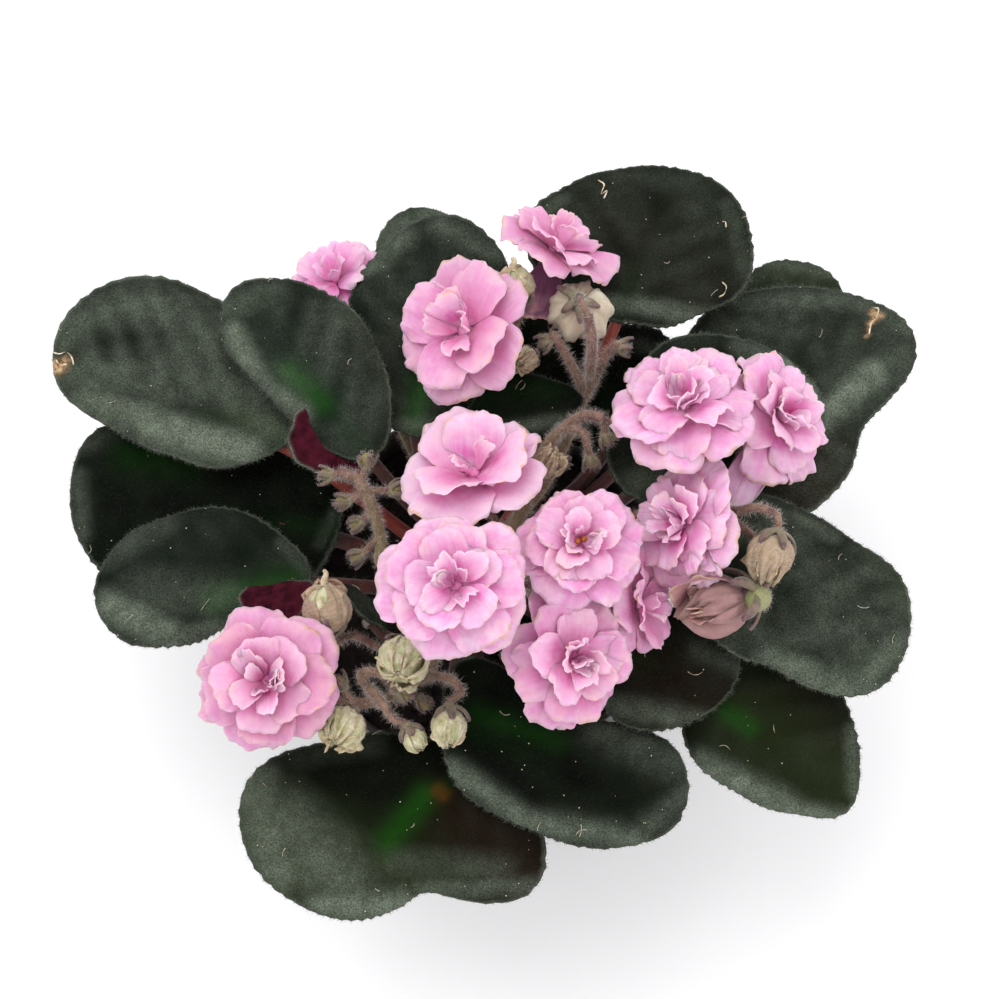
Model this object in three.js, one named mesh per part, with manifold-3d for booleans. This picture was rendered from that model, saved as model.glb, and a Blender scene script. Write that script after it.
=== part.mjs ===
// Potted African violet: eighteen velvety leaves and fourteen double pink blooms on a short crown, in a
// round pot. Millimetres, +Z up. The origin is the middle of the pot's flat base, and -Y is the front.
import * as THREE from "three";
import { mergeVertices } from "three/addons/utils/BufferGeometryUtils.js";
import Module from "manifold-3d";

const wasm = await Module();
wasm.setup();

// ---------------------------------------------------------------- driving dimensions

const GAP = 0.3; // air left between neighbouring pieces

// Moulded pot: tapered body, a wider band round the rim, drainage holes clear of the middle.
const POT_HEIGHT = 82;
const POT_BASE_RADIUS = 34;
const POT_RIM_RADIUS = 48;
const POT_RIM_BAND = 17;
const POT_RIM_STEP = 2.2;
const POT_WALL = 2.4;
const POT_SIDES = 24;
const DRAIN_HOLES = 6;
const DRAIN_RADIUS = 4;
const DRAIN_CIRCLE = 22;

// Potting mix, nine millimetres below the rim.
const SOIL_TOP = 73;
const SOIL_LUMP = 0.9;
const SOIL_SIDES = 20;

// Crown: the short stem that stands in the mix and carries every stalk.
const CROWN_RADIUS = 9;
const CROWN_FOOT = 56;
const CROWN_TOP = 98;
const CROWN_SIDES = 14;

// Leaf blades and their stalks.
const BLADE_THICKNESS = 1;
const BLADE_SECTORS = 27;
const SMALL_BLADE_SECTORS = 18; // on a blade that is no longer than SMALL_BLADE from its middle
const SMALL_BLADE = 19;
const BLADE_RINGS = [0.55, 1];
const TOOTH = 0.35; // half the depth of the small scallops round the margin
const BASE_LEVEL = 0.9; // how far a blade's base is kept from falling with the rest of its margin
const BASE_WIDTH = 0.5; // radians of the blade to either side of its base that stay level
const LEAF_STALK_RADIUS = 1.7;
const LEAF_STALK_SIDES = 5;
const LEAF_STALK_STEPS = 5;
// The stalk joins the blade this share of the way out from the blade's middle to the leaf's base.
const LEAF_STALK_REACH = 0.55;

// Petals.
const PETAL_THICKNESS = 0.7;
const RECEPTACLE_RADIUS = 2.8;
const RECEPTACLE_TOP = 2.4;
const RECEPTACLE_FOOT = -2.2;

// Flower stalks.
const FLOWER_STALK_RADIUS = 1.4;
const SIDE_STALK_RADIUS = 0.9;
const FLOWER_STALK_SIDES = 4;
const SIDE_STALK_STEPS = 2;
const YOUNG_BUD_RADIUS = 1.7;
const CALYX_RADIUS = 4;
const CALYX_DEPTH = 2.6;

// ---------------------------------------------------------------- the plant's plan

// Each leaf: "at" is a point on the midrib near the blade's middle, "heading" the compass way to the tip
// (0 is +X, 90 is +Y), "rise" the tilt up to the tip, "bank" the tilt about the midrib, left side up.
// "radii" run from "at" to the margin every 30 degrees, starting at the tip and turning left. "dome" is how
// far the margin falls below the middle, "fold" how far it rises beside the midrib, "wave" the depth of its
// waves. "root" is where the leaf's stalk leaves the crown: its compass way and its height.
const LEAVES = [
  {
    name: "leaf_01",
    at: [-77, 38, 110],
    heading: 161,
    rise: -2,
    bank: 0,
    radii: [33, 18, 13, 12, 14, 22, 31, 34, 31, 32, 38, 40],
    dome: 4,
    fold: 1,
    wave: 0.6,
    root: [150, 85],
  },
  {
    name: "leaf_02",
    at: [-46, 44, 122],
    heading: 129,
    rise: 6,
    bank: -8,
    radii: [25, 19, 12, 10, 11, 17, 31, 26, 21, 20, 20, 22],
    dome: 3,
    fold: 1.5,
    wave: 0.8,
    root: [138, 93],
  },
  {
    name: "leaf_03",
    at: [-14, 56, 113],
    heading: 84,
    rise: 4,
    bank: 0,
    radii: [34, 27, 23, 19, 19, 23, 27, 25, 21, 21, 24, 31],
    dome: 4,
    fold: 1,
    wave: 0.5,
    root: [123, 88],
  },
  {
    name: "leaf_04",
    at: [-14, 80, 101],
    heading: 104,
    rise: 0,
    bank: 0,
    radii: [19, 17, 14, 13, 14, 17, 17, 15, 12, 12, 14, 17],
    dome: 2,
    fold: 0.5,
    wave: 0.4,
    root: [98, 80],
  },
  {
    name: "leaf_05",
    at: [41, 76, 119],
    heading: 70,
    rise: 3,
    bank: 0,
    radii: [26, 25, 27, 31, 27, 21, 20, 20, 21, 27, 28, 29],
    dome: 4,
    fold: 1,
    wave: 0.6,
    root: [62, 92],
  },
  {
    name: "leaf_06",
    at: [80, 71, 99],
    heading: 28,
    rise: 0,
    bank: 0,
    radii: [15, 14, 13, 13, 14, 16, 15, 12, 12, 11, 12, 14],
    dome: 2,
    fold: 0.5,
    wave: 0.4,
    root: [43, 79],
  },
  {
    name: "leaf_07",
    at: [80, 47, 107],
    heading: 19,
    rise: 0,
    bank: 0,
    radii: [33, 30, 27, 27, 29, 30, 28, 32, 38, 30, 21, 24],
    dome: 4,
    fold: 1,
    wave: 1,
    root: [34, 85],
  },
  {
    name: "leaf_08",
    at: [59, 25, 118],
    heading: 30,
    rise: -3,
    bank: 0,
    radii: [30, 29, 30, 30, 24, 28, 27, 20, 13, 12, 13, 20],
    dome: 3,
    fold: 1,
    wave: 0.5,
    root: [17, 91],
  },
  {
    name: "leaf_09",
    at: [31, 51, 99],
    heading: 100,
    rise: 0,
    bank: 0,
    radii: [18, 28, 23, 17, 18, 21, 19, 16, 17, 20, 20, 16],
    dome: 2,
    fold: 0.5,
    wave: 0.2,
    root: [54, 86],
  },
  {
    name: "leaf_10",
    at: [9, 31, 120],
    heading: 18,
    rise: 2,
    bank: 0,
    radii: [17, 13, 12, 12, 11, 12, 16, 13, 9, 8, 9, 11],
    dome: 2,
    fold: 1,
    wave: 0.3,
    root: [105, 94],
  },
  {
    name: "leaf_11",
    at: [-69, 13, 98],
    heading: 173,
    rise: 0,
    bank: 0,
    radii: [35, 30, 26, 24, 26, 31, 34, 34, 30, 25, 28, 38],
    dome: 4,
    fold: 1,
    wave: 0.6,
    root: [166, 80],
  },
  {
    name: "leaf_12",
    at: [-68, -8, 109],
    heading: -179,
    rise: -4,
    bank: 0,
    radii: [27, 24, 18, 14, 13, 20, 27, 23, 21, 20, 21, 24],
    dome: 4,
    fold: 1,
    wave: 0.5,
    root: [190, 85],
  },
  {
    name: "leaf_13",
    at: [75, -14, 115],
    heading: -20,
    rise: -2,
    bank: 0,
    radii: [30, 28, 23, 23, 27, 30, 27, 24, 20, 17, 22, 29],
    dome: 4,
    fold: 1,
    wave: 1,
    root: [355, 88],
  },
  {
    name: "leaf_14",
    at: [70, -45, 97],
    heading: -42,
    rise: -3,
    bank: 0,
    radii: [25, 23, 22, 23, 23, 24, 23, 21, 18, 15, 15, 18],
    dome: 2,
    fold: 1,
    wave: 0.6,
    root: [333, 80],
  },
  {
    name: "leaf_15",
    at: [45, -31, 108],
    heading: -23,
    rise: -3,
    bank: 0,
    radii: [15, 18, 19, 17, 17, 16, 16, 16, 17, 15, 13, 13],
    dome: 2,
    fold: 1,
    wave: 0.4,
    root: [330, 88],
  },
  {
    name: "leaf_16",
    at: [18, -53, 105],
    heading: -22,
    rise: -2,
    bank: 0,
    radii: [32, 30, 18, 13, 15, 34, 29, 24, 18, 16, 18, 24],
    dome: 2.5,
    fold: 1,
    wave: 0.5,
    root: [257, 89],
  },
  {
    name: "leaf_17",
    at: [-22, -67, 97],
    heading: -142,
    rise: -3,
    bank: 0,
    radii: [27, 22, 18, 18, 37, 36, 30, 25, 25, 28, 37, 34],
    dome: 4,
    fold: 1,
    wave: 0.8,
    root: [263, 80],
  },
  {
    name: "leaf_18",
    at: [-27, -15, 113],
    heading: 135,
    rise: 10,
    bank: 60,
    radii: [8, 6, 5, 5, 5, 6, 8, 6, 5, 5, 5, 6],
    dome: 1,
    fold: 0.5,
    wave: 0.2,
    root: [221, 89],
  },
];

// Each bloom: the middle of its face, the way it faces, its radius, and how it is built.
// "open" is a full double, "loose" a semi-double with fewer inner petals, "closing" and "wilted" draw their
// petals in.
const BLOOMS = [
  {
    name: "bloom_01",
    at: [-37, 74, 104],
    faces: [-0.2, 0.2, 0.95],
    radius: 12.5,
    form: "loose",
    colour: "pink",
  },
  {
    name: "bloom_02",
    at: [-3, 47, 133],
    faces: [-0.45, -0.1, 0.88],
    radius: 18,
    form: "loose",
    colour: "pink",
  },
  {
    name: "bloom_03",
    at: [18, 69, 132],
    faces: [0.42, 0.6, 0.68],
    radius: 14.5,
    form: "loose",
    colour: "pink",
  },
  {
    name: "bloom_04",
    at: [48, 24, 139],
    faces: [-0.05, 0.36, 0.93],
    radius: 18,
    form: "open",
    colour: "pink",
  },
  {
    name: "bloom_05",
    at: [71, 27, 127],
    faces: [0.6, -0.05, 0.8],
    radius: 17,
    form: "open",
    colour: "pink",
  },
  {
    name: "bloom_06",
    at: [-1, 9, 135],
    faces: [-0.2, 0.4, 0.9],
    radius: 17,
    form: "loose",
    colour: "pink",
  },
  {
    name: "bloom_07",
    at: [-5, -22, 148],
    faces: [-0.05, -0.25, 0.97],
    radius: 18.5,
    form: "open",
    colour: "pink",
  },
  {
    name: "bloom_08",
    at: [23, -10, 141],
    faces: [0.1, 0, 0.99],
    radius: 16,
    form: "open",
    colour: "pink",
  },
  {
    name: "bloom_09",
    at: [49, -1, 129],
    faces: [-0.75, -0.1, 0.65],
    radius: 15,
    form: "open",
    colour: "pink",
  },
  {
    name: "bloom_10",
    at: [37, -18, 121],
    faces: [0.85, -0.2, 0.48],
    radius: 10,
    form: "loose",
    colour: "pink",
  },
  {
    name: "bloom_11",
    at: [21, -33, 129],
    faces: [0.4, -0.35, 0.85],
    radius: 16,
    form: "open",
    colour: "pink",
  },
  {
    name: "bloom_12",
    at: [-49, -36, 119],
    faces: [-0.15, -0.3, 0.94],
    radius: 18.5,
    form: "open",
    colour: "pink",
  },
  {
    name: "bloom_13",
    at: [62, -17, 124.5],
    faces: [-0.92, -0.28, -0.2],
    radius: 11.5,
    form: "closing",
    colour: "mauve",
  },
  {
    name: "bloom_14",
    at: [24, 54, 134],
    faces: [0, 0.1, -0.99],
    radius: 9,
    form: "wilted",
    colour: "tan",
  },
];

// Each bud: the middle of the ball, the way its tip points, and its radius.
const BUDS = [
  { name: "bud_01", at: [9, 59, 135], points: [-0.2, 0.5, 0.84], radius: 4.4 },
  { name: "bud_02", at: [11, 43, 125], points: [-0.5, -0.6, 0.6], radius: 2.7 },
  { name: "bud_03", at: [-36, -18, 119], points: [-0.1, 0.85, 0.45], radius: 5.6 },
  { name: "bud_04", at: [-18, -32, 121], points: [-0.1, -0.6, 0.55], radius: 5.6 },
  { name: "bud_05", at: [-32, -46, 113], points: [-0.3, -0.8, 0.5], radius: 4.6 },
  { name: "bud_06", at: [-7, -46, 113], points: [0, -0.95, -0.2], radius: 4 },
  { name: "bud_07", at: [68, -9.5, 131], points: [-0.25, -0.85, -0.45], radius: 5 },
  { name: "bud_08", at: [30, -17, 131], points: [0.3, -0.3, 0.9], radius: 3 },
  { name: "bud_09", at: [16, 15, 128], points: [0.5, 0.5, 0.7], radius: 3.2 },
  { name: "bud_10", at: [-15, -48, 110], points: [0.5, -0.8, -0.35], radius: 2.6 },
];

// Each flower stalk: its stems as the points they pass, the first from the crown and the others from one
// before. A bloom or bud that it carries, and a young bud too small to show petals, has its own side stalk,
// which leaves a stem, counted from 0, at a share of that stem's length.
const STALKS = [
  {
    name: "stalk_01",
    stems: [
      [[3.4, 4.6, 99.3], [16, 18, 106], [26, 38, 114.5], [27, 41, 126], [27, 44, 135], [26, 48, 140]],
      [[26, 38, 114.5], [24, 41, 120], [21, 44, 126], [18, 48, 130]],
      [[26, 38, 114.5], [28, 40, 119], [30, 43, 124], [33, 46, 128]],
      [[16, 18, 106], [13, 34, 110], [6, 48, 119]],
    ],
    carries: [
      { name: "bloom_14", stem: 0, share: 1 },
      { name: "bloom_02", stem: 3, share: 0.9 },
      { name: "bloom_03", stem: 3, share: 1 },
      { name: "bud_01", stem: 3, share: 1 },
      { name: "bud_02", stem: 3, share: 1 },
    ],
    young: [
      { at: [16, 47, 127], stem: 1, share: 1 },
      { at: [35, 46, 126], stem: 2, share: 1 },
    ],
  },
  {
    name: "stalk_02",
    stems: [
      [[5.6, 1.6, 99.3], [11, 12, 108], [16, 23, 117], [20, 26, 122], [25, 28, 126], [30, 27, 127]],
      [[17, 24, 119], [21, 26, 123], [25, 24, 125], [26, 21, 124]],
    ],
    carries: [
      { name: "bud_09", stem: 0, share: 0.4 },
    ],
    young: [
      { at: [31, 23, 123], stem: 0, share: 1 },
      { at: [27, 18, 121], stem: 1, share: 1 },
      { at: [20, 19, 118], stem: 0, share: 0.6 },
      { at: [35, 26, 124], stem: 0, share: 0.9 },
    ],
  },
  {
    name: "stalk_03",
    stems: [
      [[5.4, -2.4, 99.3], [22, -1, 108], [40, 6, 118], [56, 6, 121]],
      [[56, 6, 121], [61, 3, 128], [65, 2, 133], [69, 0, 135]],
    ],
    carries: [
      { name: "bloom_04", stem: 0, share: 0.85 },
      { name: "bloom_05", stem: 0, share: 1 },
      { name: "bloom_09", stem: 0, share: 0.8 },
      { name: "bloom_13", stem: 0, share: 0.95 },
      { name: "bud_07", stem: 1, share: 1 },
    ],
    young: [],
  },
  {
    name: "stalk_04",
    stems: [
      [[1.2, -5.6, 99.3], [6, -12, 110], [12, -14, 122]],
    ],
    carries: [
      { name: "bloom_06", stem: 0, share: 1 },
      { name: "bloom_07", stem: 0, share: 1 },
      { name: "bloom_08", stem: 0, share: 1 },
      { name: "bloom_11", stem: 0, share: 0.9 },
      { name: "bloom_10", stem: 0, share: 0.9 },
      { name: "bud_08", stem: 0, share: 0.9 },
    ],
    young: [],
  },
  {
    name: "stalk_05",
    stems: [
      [
        [-5.4, 0.4, 99.3],
        [-17, -5, 102],
        [-24, -3, 106],
        [-24, 2, 111],
        [-26, 8, 118],
        [-29, 13, 122],
        [-34, 15, 122],
      ],
    ],
    carries: [],
    young: [
      { at: [-37, 15, 120], stem: 0, share: 1 },
      { at: [-27, 17, 125], stem: 0, share: 0.85 },
      { at: [-20, 12, 118], stem: 0, share: 0.8 },
      { at: [-33, 9, 118], stem: 0, share: 0.8 },
      { at: [-30, 5, 113], stem: 0, share: 0.7 },
      { at: [-30, -2, 108], stem: 0, share: 0.55 },
    ],
  },
  {
    name: "stalk_06",
    stems: [
      [[-2.6, -5, 99.3], [-8, -20, 104], [-14, -32, 107], [-24, -38, 108], [-34, -39, 110]],
      [[-14, -32, 107], [-10, -33, 112], [-6, -35, 115], [-4, -38, 116]],
      [[-24, -38, 108], [-26, -36, 112], [-23, -40, 114], [-20, -44, 113]],
      [[-24, -38, 108], [-28, -33, 112], [-24, -33, 115], [-20, -36, 114]],
      [[-8, -20, 104], [-18, -26, 105], [-30, -22, 109]],
    ],
    carries: [
      { name: "bloom_12", stem: 0, share: 1 },
      { name: "bud_03", stem: 4, share: 1 },
      { name: "bud_04", stem: 0, share: 0.45 },
      { name: "bud_05", stem: 0, share: 0.9 },
      { name: "bud_06", stem: 1, share: 1 },
      { name: "bud_10", stem: 2, share: 1 },
    ],
    young: [
      { at: [-18, -38, 112], stem: 3, share: 1 },
      { at: [-13, -39, 109], stem: 0, share: 0.65 },
      { at: [-33, -35, 113], stem: 0, share: 0.9 },
    ],
  },
  {
    name: "stalk_07",
    stems: [
      [[-5.5, 8.3, 82], [-18, 34, 90], [-32, 62, 94]],
    ],
    carries: [
      { name: "bloom_01", stem: 0, share: 1 },
    ],
    young: [],
  },
];

// ---------------------------------------------------------------- colours

const FINISHES = {
  pot: { color: "#2b2724", roughness: 0.5 },
  soil: { color: "#2c211a", roughness: 1 },
  crown: { color: "#6d5a3c", roughness: 0.9 },
  leaf: { color: "#262e29", roughness: 0.8 },
  stalk: { color: "#85685f", roughness: 0.8 },
  bud: { color: "#c9c09a", roughness: 0.7 },
  pink: { color: "#ee9fd2", roughness: 0.6 },
  mauve: { color: "#b98aa0", roughness: 0.7 },
  tan: { color: "#c9a392", roughness: 0.8 },
};

// ---------------------------------------------------------------- helpers

// Seeded random numbers from 0 to 1, the same on every run.
function randomFrom(seed) {
  let state = seed;
  return () => {
    state = (state * 1664525 + 1013904223) % 4294967296;
    return state / 4294967296;
  };
}

function vector(point) {
  return new THREE.Vector3(...point);
}

function compass(degrees) {
  const angle = THREE.MathUtils.degToRad(degrees);
  return new THREE.Vector3(Math.cos(angle), Math.sin(angle), 0);
}

// A closed three.js geometry as a manifold-3d solid.
function solidOf(geometry) {
  const bare = geometry.clone();
  bare.deleteAttribute("normal");
  bare.deleteAttribute("uv");
  const merged = mergeVertices(bare, 1e-4);
  const mesh = new wasm.Mesh({
    numProp: 3,
    vertProperties: merged.attributes.position.array,
    triVerts: new Uint32Array(merged.index.array),
  });
  return new wasm.Manifold(mesh);
}

function geometryOf(solid) {
  const mesh = solid.getMesh();
  const geometry = new THREE.BufferGeometry();
  geometry.setAttribute("position", new THREE.BufferAttribute(mesh.vertProperties, 3));
  geometry.setIndex(new THREE.BufferAttribute(mesh.triVerts, 1));
  geometry.computeVertexNormals();
  return geometry;
}

function joined(solids) {
  return solids.reduce((whole, solid) => whole.add(solid));
}

// A closed geometry from corner points and the triangles between them.
function geometryFrom(points, triangles) {
  const geometry = new THREE.BufferGeometry();
  geometry.setAttribute("position", new THREE.Float32BufferAttribute(points.flatMap((p) => p.toArray()), 3));
  geometry.setIndex(triangles.flat());
  return geometry;
}

// A sheet of even thickness: the same triangles on its face and its back, and a strip round its edge.
function sheet(face, triangles, edge, thickness) {
  const count = face.length;
  const back = face.map((p) => p.clone().sub(thickness));
  const behind = triangles.map(([a, b, c]) => [a + count, c + count, b + count]);
  const strip = edge.flatMap((a, i) => {
    const b = edge[(i + 1) % edge.length];
    return [[a, a + count, b], [b, a + count, b + count]];
  });
  return geometryFrom([...face, ...back], [...triangles, ...behind, ...strip]);
}

// A round stem along a curve.
function stem(curve, radius, sides, steps) {
  const section = new THREE.Shape();
  for (let i = 0; i < sides; i++) {
    const angle = (2 * Math.PI * i) / sides;
    const corner = new THREE.Vector2(Math.cos(angle), Math.sin(angle)).multiplyScalar(radius);
    if (i === 0) section.moveTo(corner.x, corner.y);
    else section.lineTo(corner.x, corner.y);
  }
  return new THREE.ExtrudeGeometry(section, { extrudePath: curve, steps, bevelEnabled: false });
}

function meshOf(name, geometry, finish) {
  const material = new THREE.MeshStandardMaterial({ ...FINISHES[finish], metalness: 0 });
  const mesh = new THREE.Mesh(geometry, material);
  mesh.name = name;
  return mesh;
}

// ---------------------------------------------------------------- pot, potting mix and crown

// Radius of the pot's outside at a height, below its rim band.
function potRadius(height) {
  const bodyTop = POT_HEIGHT - POT_RIM_BAND;
  const widest = POT_RIM_RADIUS - POT_RIM_STEP - 1;
  return POT_BASE_RADIUS + ((widest - POT_BASE_RADIUS) * height) / bodyTop;
}

function pot() {
  const bodyTop = POT_HEIGHT - POT_RIM_BAND;
  const profile = [
    [0, 0],
    [POT_BASE_RADIUS, 0],
    [potRadius(bodyTop), bodyTop],
    [POT_RIM_RADIUS - 1, bodyTop + 0.6],
    [POT_RIM_RADIUS, POT_HEIGHT],
    [POT_RIM_RADIUS - POT_WALL, POT_HEIGHT],
    [POT_RIM_RADIUS - POT_WALL - 1, bodyTop + 1],
    [potRadius(bodyTop) - POT_WALL, bodyTop - 2],
    [POT_BASE_RADIUS - POT_WALL + 0.6, POT_WALL],
    [0, POT_WALL],
  ];
  const body = new THREE.LatheGeometry(profile.map(([r, z]) => new THREE.Vector2(r, z)), POT_SIDES);
  body.rotateX(Math.PI / 2);
  let shell = solidOf(body);
  for (let i = 0; i < DRAIN_HOLES; i++) {
    const middle = compass((360 * i) / DRAIN_HOLES).multiplyScalar(DRAIN_CIRCLE);
    const hole = new THREE.CylinderGeometry(DRAIN_RADIUS, DRAIN_RADIUS, 4 * POT_WALL, 8);
    hole.rotateX(Math.PI / 2);
    hole.translate(middle.x, middle.y, 0);
    shell = shell.subtract(solidOf(hole));
  }
  return meshOf("pot", geometryOf(shell), "pot");
}

function soil() {
  const foot = POT_WALL + GAP;
  const bodyTop = POT_HEIGHT - POT_RIM_BAND;
  const inset = POT_WALL + GAP + 0.5;
  const socket = CROWN_RADIUS + GAP + 0.2;
  const profile = [
    [0, foot],
    [POT_BASE_RADIUS - inset, foot],
    [potRadius(bodyTop) - inset, bodyTop - 2.5],
    [POT_RIM_RADIUS - inset - 1.2, bodyTop + 2],
    [POT_RIM_RADIUS - inset - 0.8, SOIL_TOP],
    [34, SOIL_TOP + 0.8],
    [21, SOIL_TOP - 0.2],
    [socket, SOIL_TOP],
    [socket, CROWN_FOOT - GAP],
    [0, CROWN_FOOT - GAP],
  ];
  const body = new THREE.LatheGeometry(profile.map(([r, z]) => new THREE.Vector2(r, z)), SOIL_SIDES);
  body.rotateX(Math.PI / 2);
  body.deleteAttribute("normal");
  body.deleteAttribute("uv");
  const lumpy = mergeVertices(body, 1e-4);
  const random = randomFrom(7);
  const place = lumpy.attributes.position;
  for (let i = 0; i < place.count; i++) {
    const r = Math.hypot(place.getX(i), place.getY(i));
    const onTop = place.getZ(i) > SOIL_TOP - 1 && r > socket + 1;
    if (onTop) place.setZ(i, place.getZ(i) + SOIL_LUMP * (2 * random() - 1));
  }
  return meshOf("soil", geometryOf(solidOf(lumpy)), "soil");
}

function crown() {
  const profile = [
    [0, CROWN_FOOT],
    [CROWN_RADIUS - 1, CROWN_FOOT],
    [CROWN_RADIUS, CROWN_FOOT + 3],
    [CROWN_RADIUS, CROWN_TOP - 5],
    [CROWN_RADIUS - 1, CROWN_TOP - 1.5],
    [CROWN_RADIUS - 2, CROWN_TOP],
    [0, CROWN_TOP],
  ];
  const body = new THREE.LatheGeometry(profile.map(([r, z]) => new THREE.Vector2(r, z)), CROWN_SIDES);
  body.rotateX(Math.PI / 2);
  return meshOf("crown", geometryOf(solidOf(body)), "crown");
}

// ---------------------------------------------------------------- leaves

// A leaf's own directions: out along the midrib, across to the left, and up out of the blade.
function leafFrame(leaf) {
  const level = compass(leaf.heading);
  const rise = THREE.MathUtils.degToRad(leaf.rise);
  const along = level.clone().multiplyScalar(Math.cos(rise));
  along.z = Math.sin(rise);
  const across = compass(leaf.heading + 90).applyAxisAngle(along, THREE.MathUtils.degToRad(leaf.bank));
  const up = along.clone().cross(across);
  return { along, across, up };
}

// Distance from the leaf's middle to its margin, by a smooth closed curve through the twelve radii.
function marginRadius(leaf, angle) {
  const { radii } = leaf;
  const step = (2 * Math.PI) / radii.length;
  const turns = ((angle / step) % radii.length) + radii.length;
  const first = Math.floor(turns);
  const t = turns - first;
  const [a, b, c, d] = [-1, 0, 1, 2].map((k) => radii[(first + k) % radii.length]);
  return b + 0.5 * t * (c - a + t * (2 * a - 5 * b + 4 * c - d + t * (3 * (b - c) + d - a)));
}

// Height of the blade over its own plane, at a share of the way from its middle to its margin. At its base
// the blade stays level, so that the stalk runs in under it.
function bladeHeight(leaf, angle, share) {
  const beside = Math.abs(Math.sin(angle)) * share;
  const waves = Math.sin(4 * angle + leaf.heading) + 0.6 * Math.sin(7 * angle + 2 * leaf.heading);
  const fromBase = Math.abs(Math.PI - (angle % (2 * Math.PI)));
  const level = BASE_LEVEL * Math.exp(-((fromBase / BASE_WIDTH) ** 2));
  return leaf.fold * beside - leaf.dome * (1 - level) * share ** 2 + leaf.wave * share ** 3 * waves;
}

function bladePoint(leaf, frame, angle, share, tooth) {
  const reach = marginRadius(leaf, angle) * share + tooth;
  return vector(leaf.at)
    .addScaledVector(frame.along, reach * Math.cos(angle))
    .addScaledVector(frame.across, reach * Math.sin(angle))
    .addScaledVector(frame.up, bladeHeight(leaf, angle, share));
}

function blade(leaf, frame) {
  const sectors = Math.max(...leaf.radii) > SMALL_BLADE ? BLADE_SECTORS : SMALL_BLADE_SECTORS;
  const face = [bladePoint(leaf, frame, 0, 0, 0)];
  BLADE_RINGS.forEach((share, ring) => {
    for (let i = 0; i < sectors; i++) {
      const tooth = ring === BLADE_RINGS.length - 1 ? TOOTH * (i % 2 ? -1 : 1) : 0;
      face.push(bladePoint(leaf, frame, (2 * Math.PI * i) / sectors, share, tooth));
    }
  });
  const triangles = [];
  for (let i = 0; i < sectors; i++) {
    const next = (i + 1) % sectors;
    triangles.push([0, 1 + i, 1 + next]);
    for (let ring = 1; ring < BLADE_RINGS.length; ring++) {
      const inner = 1 + (ring - 1) * sectors;
      const outer = 1 + ring * sectors;
      triangles.push([inner + i, outer + i, outer + next]);
      triangles.push([inner + i, outer + next, inner + next]);
    }
  }
  const rim = 1 + (BLADE_RINGS.length - 1) * sectors;
  const edge = Array.from({ length: sectors }, (_, i) => rim + i);
  return solidOf(sheet(face, triangles, edge, frame.up.clone().multiplyScalar(BLADE_THICKNESS)));
}

// The leaf's stalk: level out of the crown, then up under the blade to join it as its midrib.
function leafStalk(leaf, frame) {
  const [heading, height] = leaf.root;
  const outward = compass(heading);
  const foot = outward.clone().multiplyScalar(CROWN_RADIUS + GAP + 0.1).setZ(height);
  const joint = bladePoint(leaf, frame, Math.PI, LEAF_STALK_REACH, 0);
  joint.addScaledVector(frame.up, -LEAF_STALK_RADIUS - 0.2);
  const length = foot.distanceTo(joint);
  const leaving = foot.clone().addScaledVector(outward, 0.3 * length);
  const arriving = joint.clone().addScaledVector(frame.along, -0.4 * length).addScaledVector(frame.up, -2);
  const curve = new THREE.CubicBezierCurve3(foot, leaving, arriving, joint);
  return solidOf(stem(curve, LEAF_STALK_RADIUS, LEAF_STALK_SIDES, LEAF_STALK_STEPS));
}

function leafMesh(leaf) {
  const frame = leafFrame(leaf);
  const solid = blade(leaf, frame).add(leafStalk(leaf, frame));
  return meshOf(leaf.name, geometryOf(solid), "leaf");
}

// ---------------------------------------------------------------- blooms and buds

// Rings of petals, as shares of the bloom's radius: how many, length, width, tilt above the bloom's face in
// degrees, and the height they start at in millimetres.
const FORMS = {
  open: [
    { count: 5, length: 0.94, width: 0.96, tilt: 4, start: 0 },
    { count: 4, length: 0.68, width: 0.8, tilt: 24, start: 1 },
    { count: 2, length: 0.42, width: 0.5, tilt: 56, start: 1.4 },
  ],
  loose: [
    { count: 5, length: 0.94, width: 0.96, tilt: 8, start: 0 },
    { count: 3, length: 0.6, width: 0.76, tilt: 40, start: 1 },
  ],
  closing: [
    { count: 5, length: 1.2, width: 0.85, tilt: 65, start: 0 },
    { count: 3, length: 1.05, width: 0.7, tilt: 78, start: 0.6 },
  ],
  wilted: [
    { count: 5, length: 0.9, width: 0.7, tilt: 35, start: 0 },
    { count: 3, length: 0.7, width: 0.6, tilt: 62, start: 0.6 },
  ],
};

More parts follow.
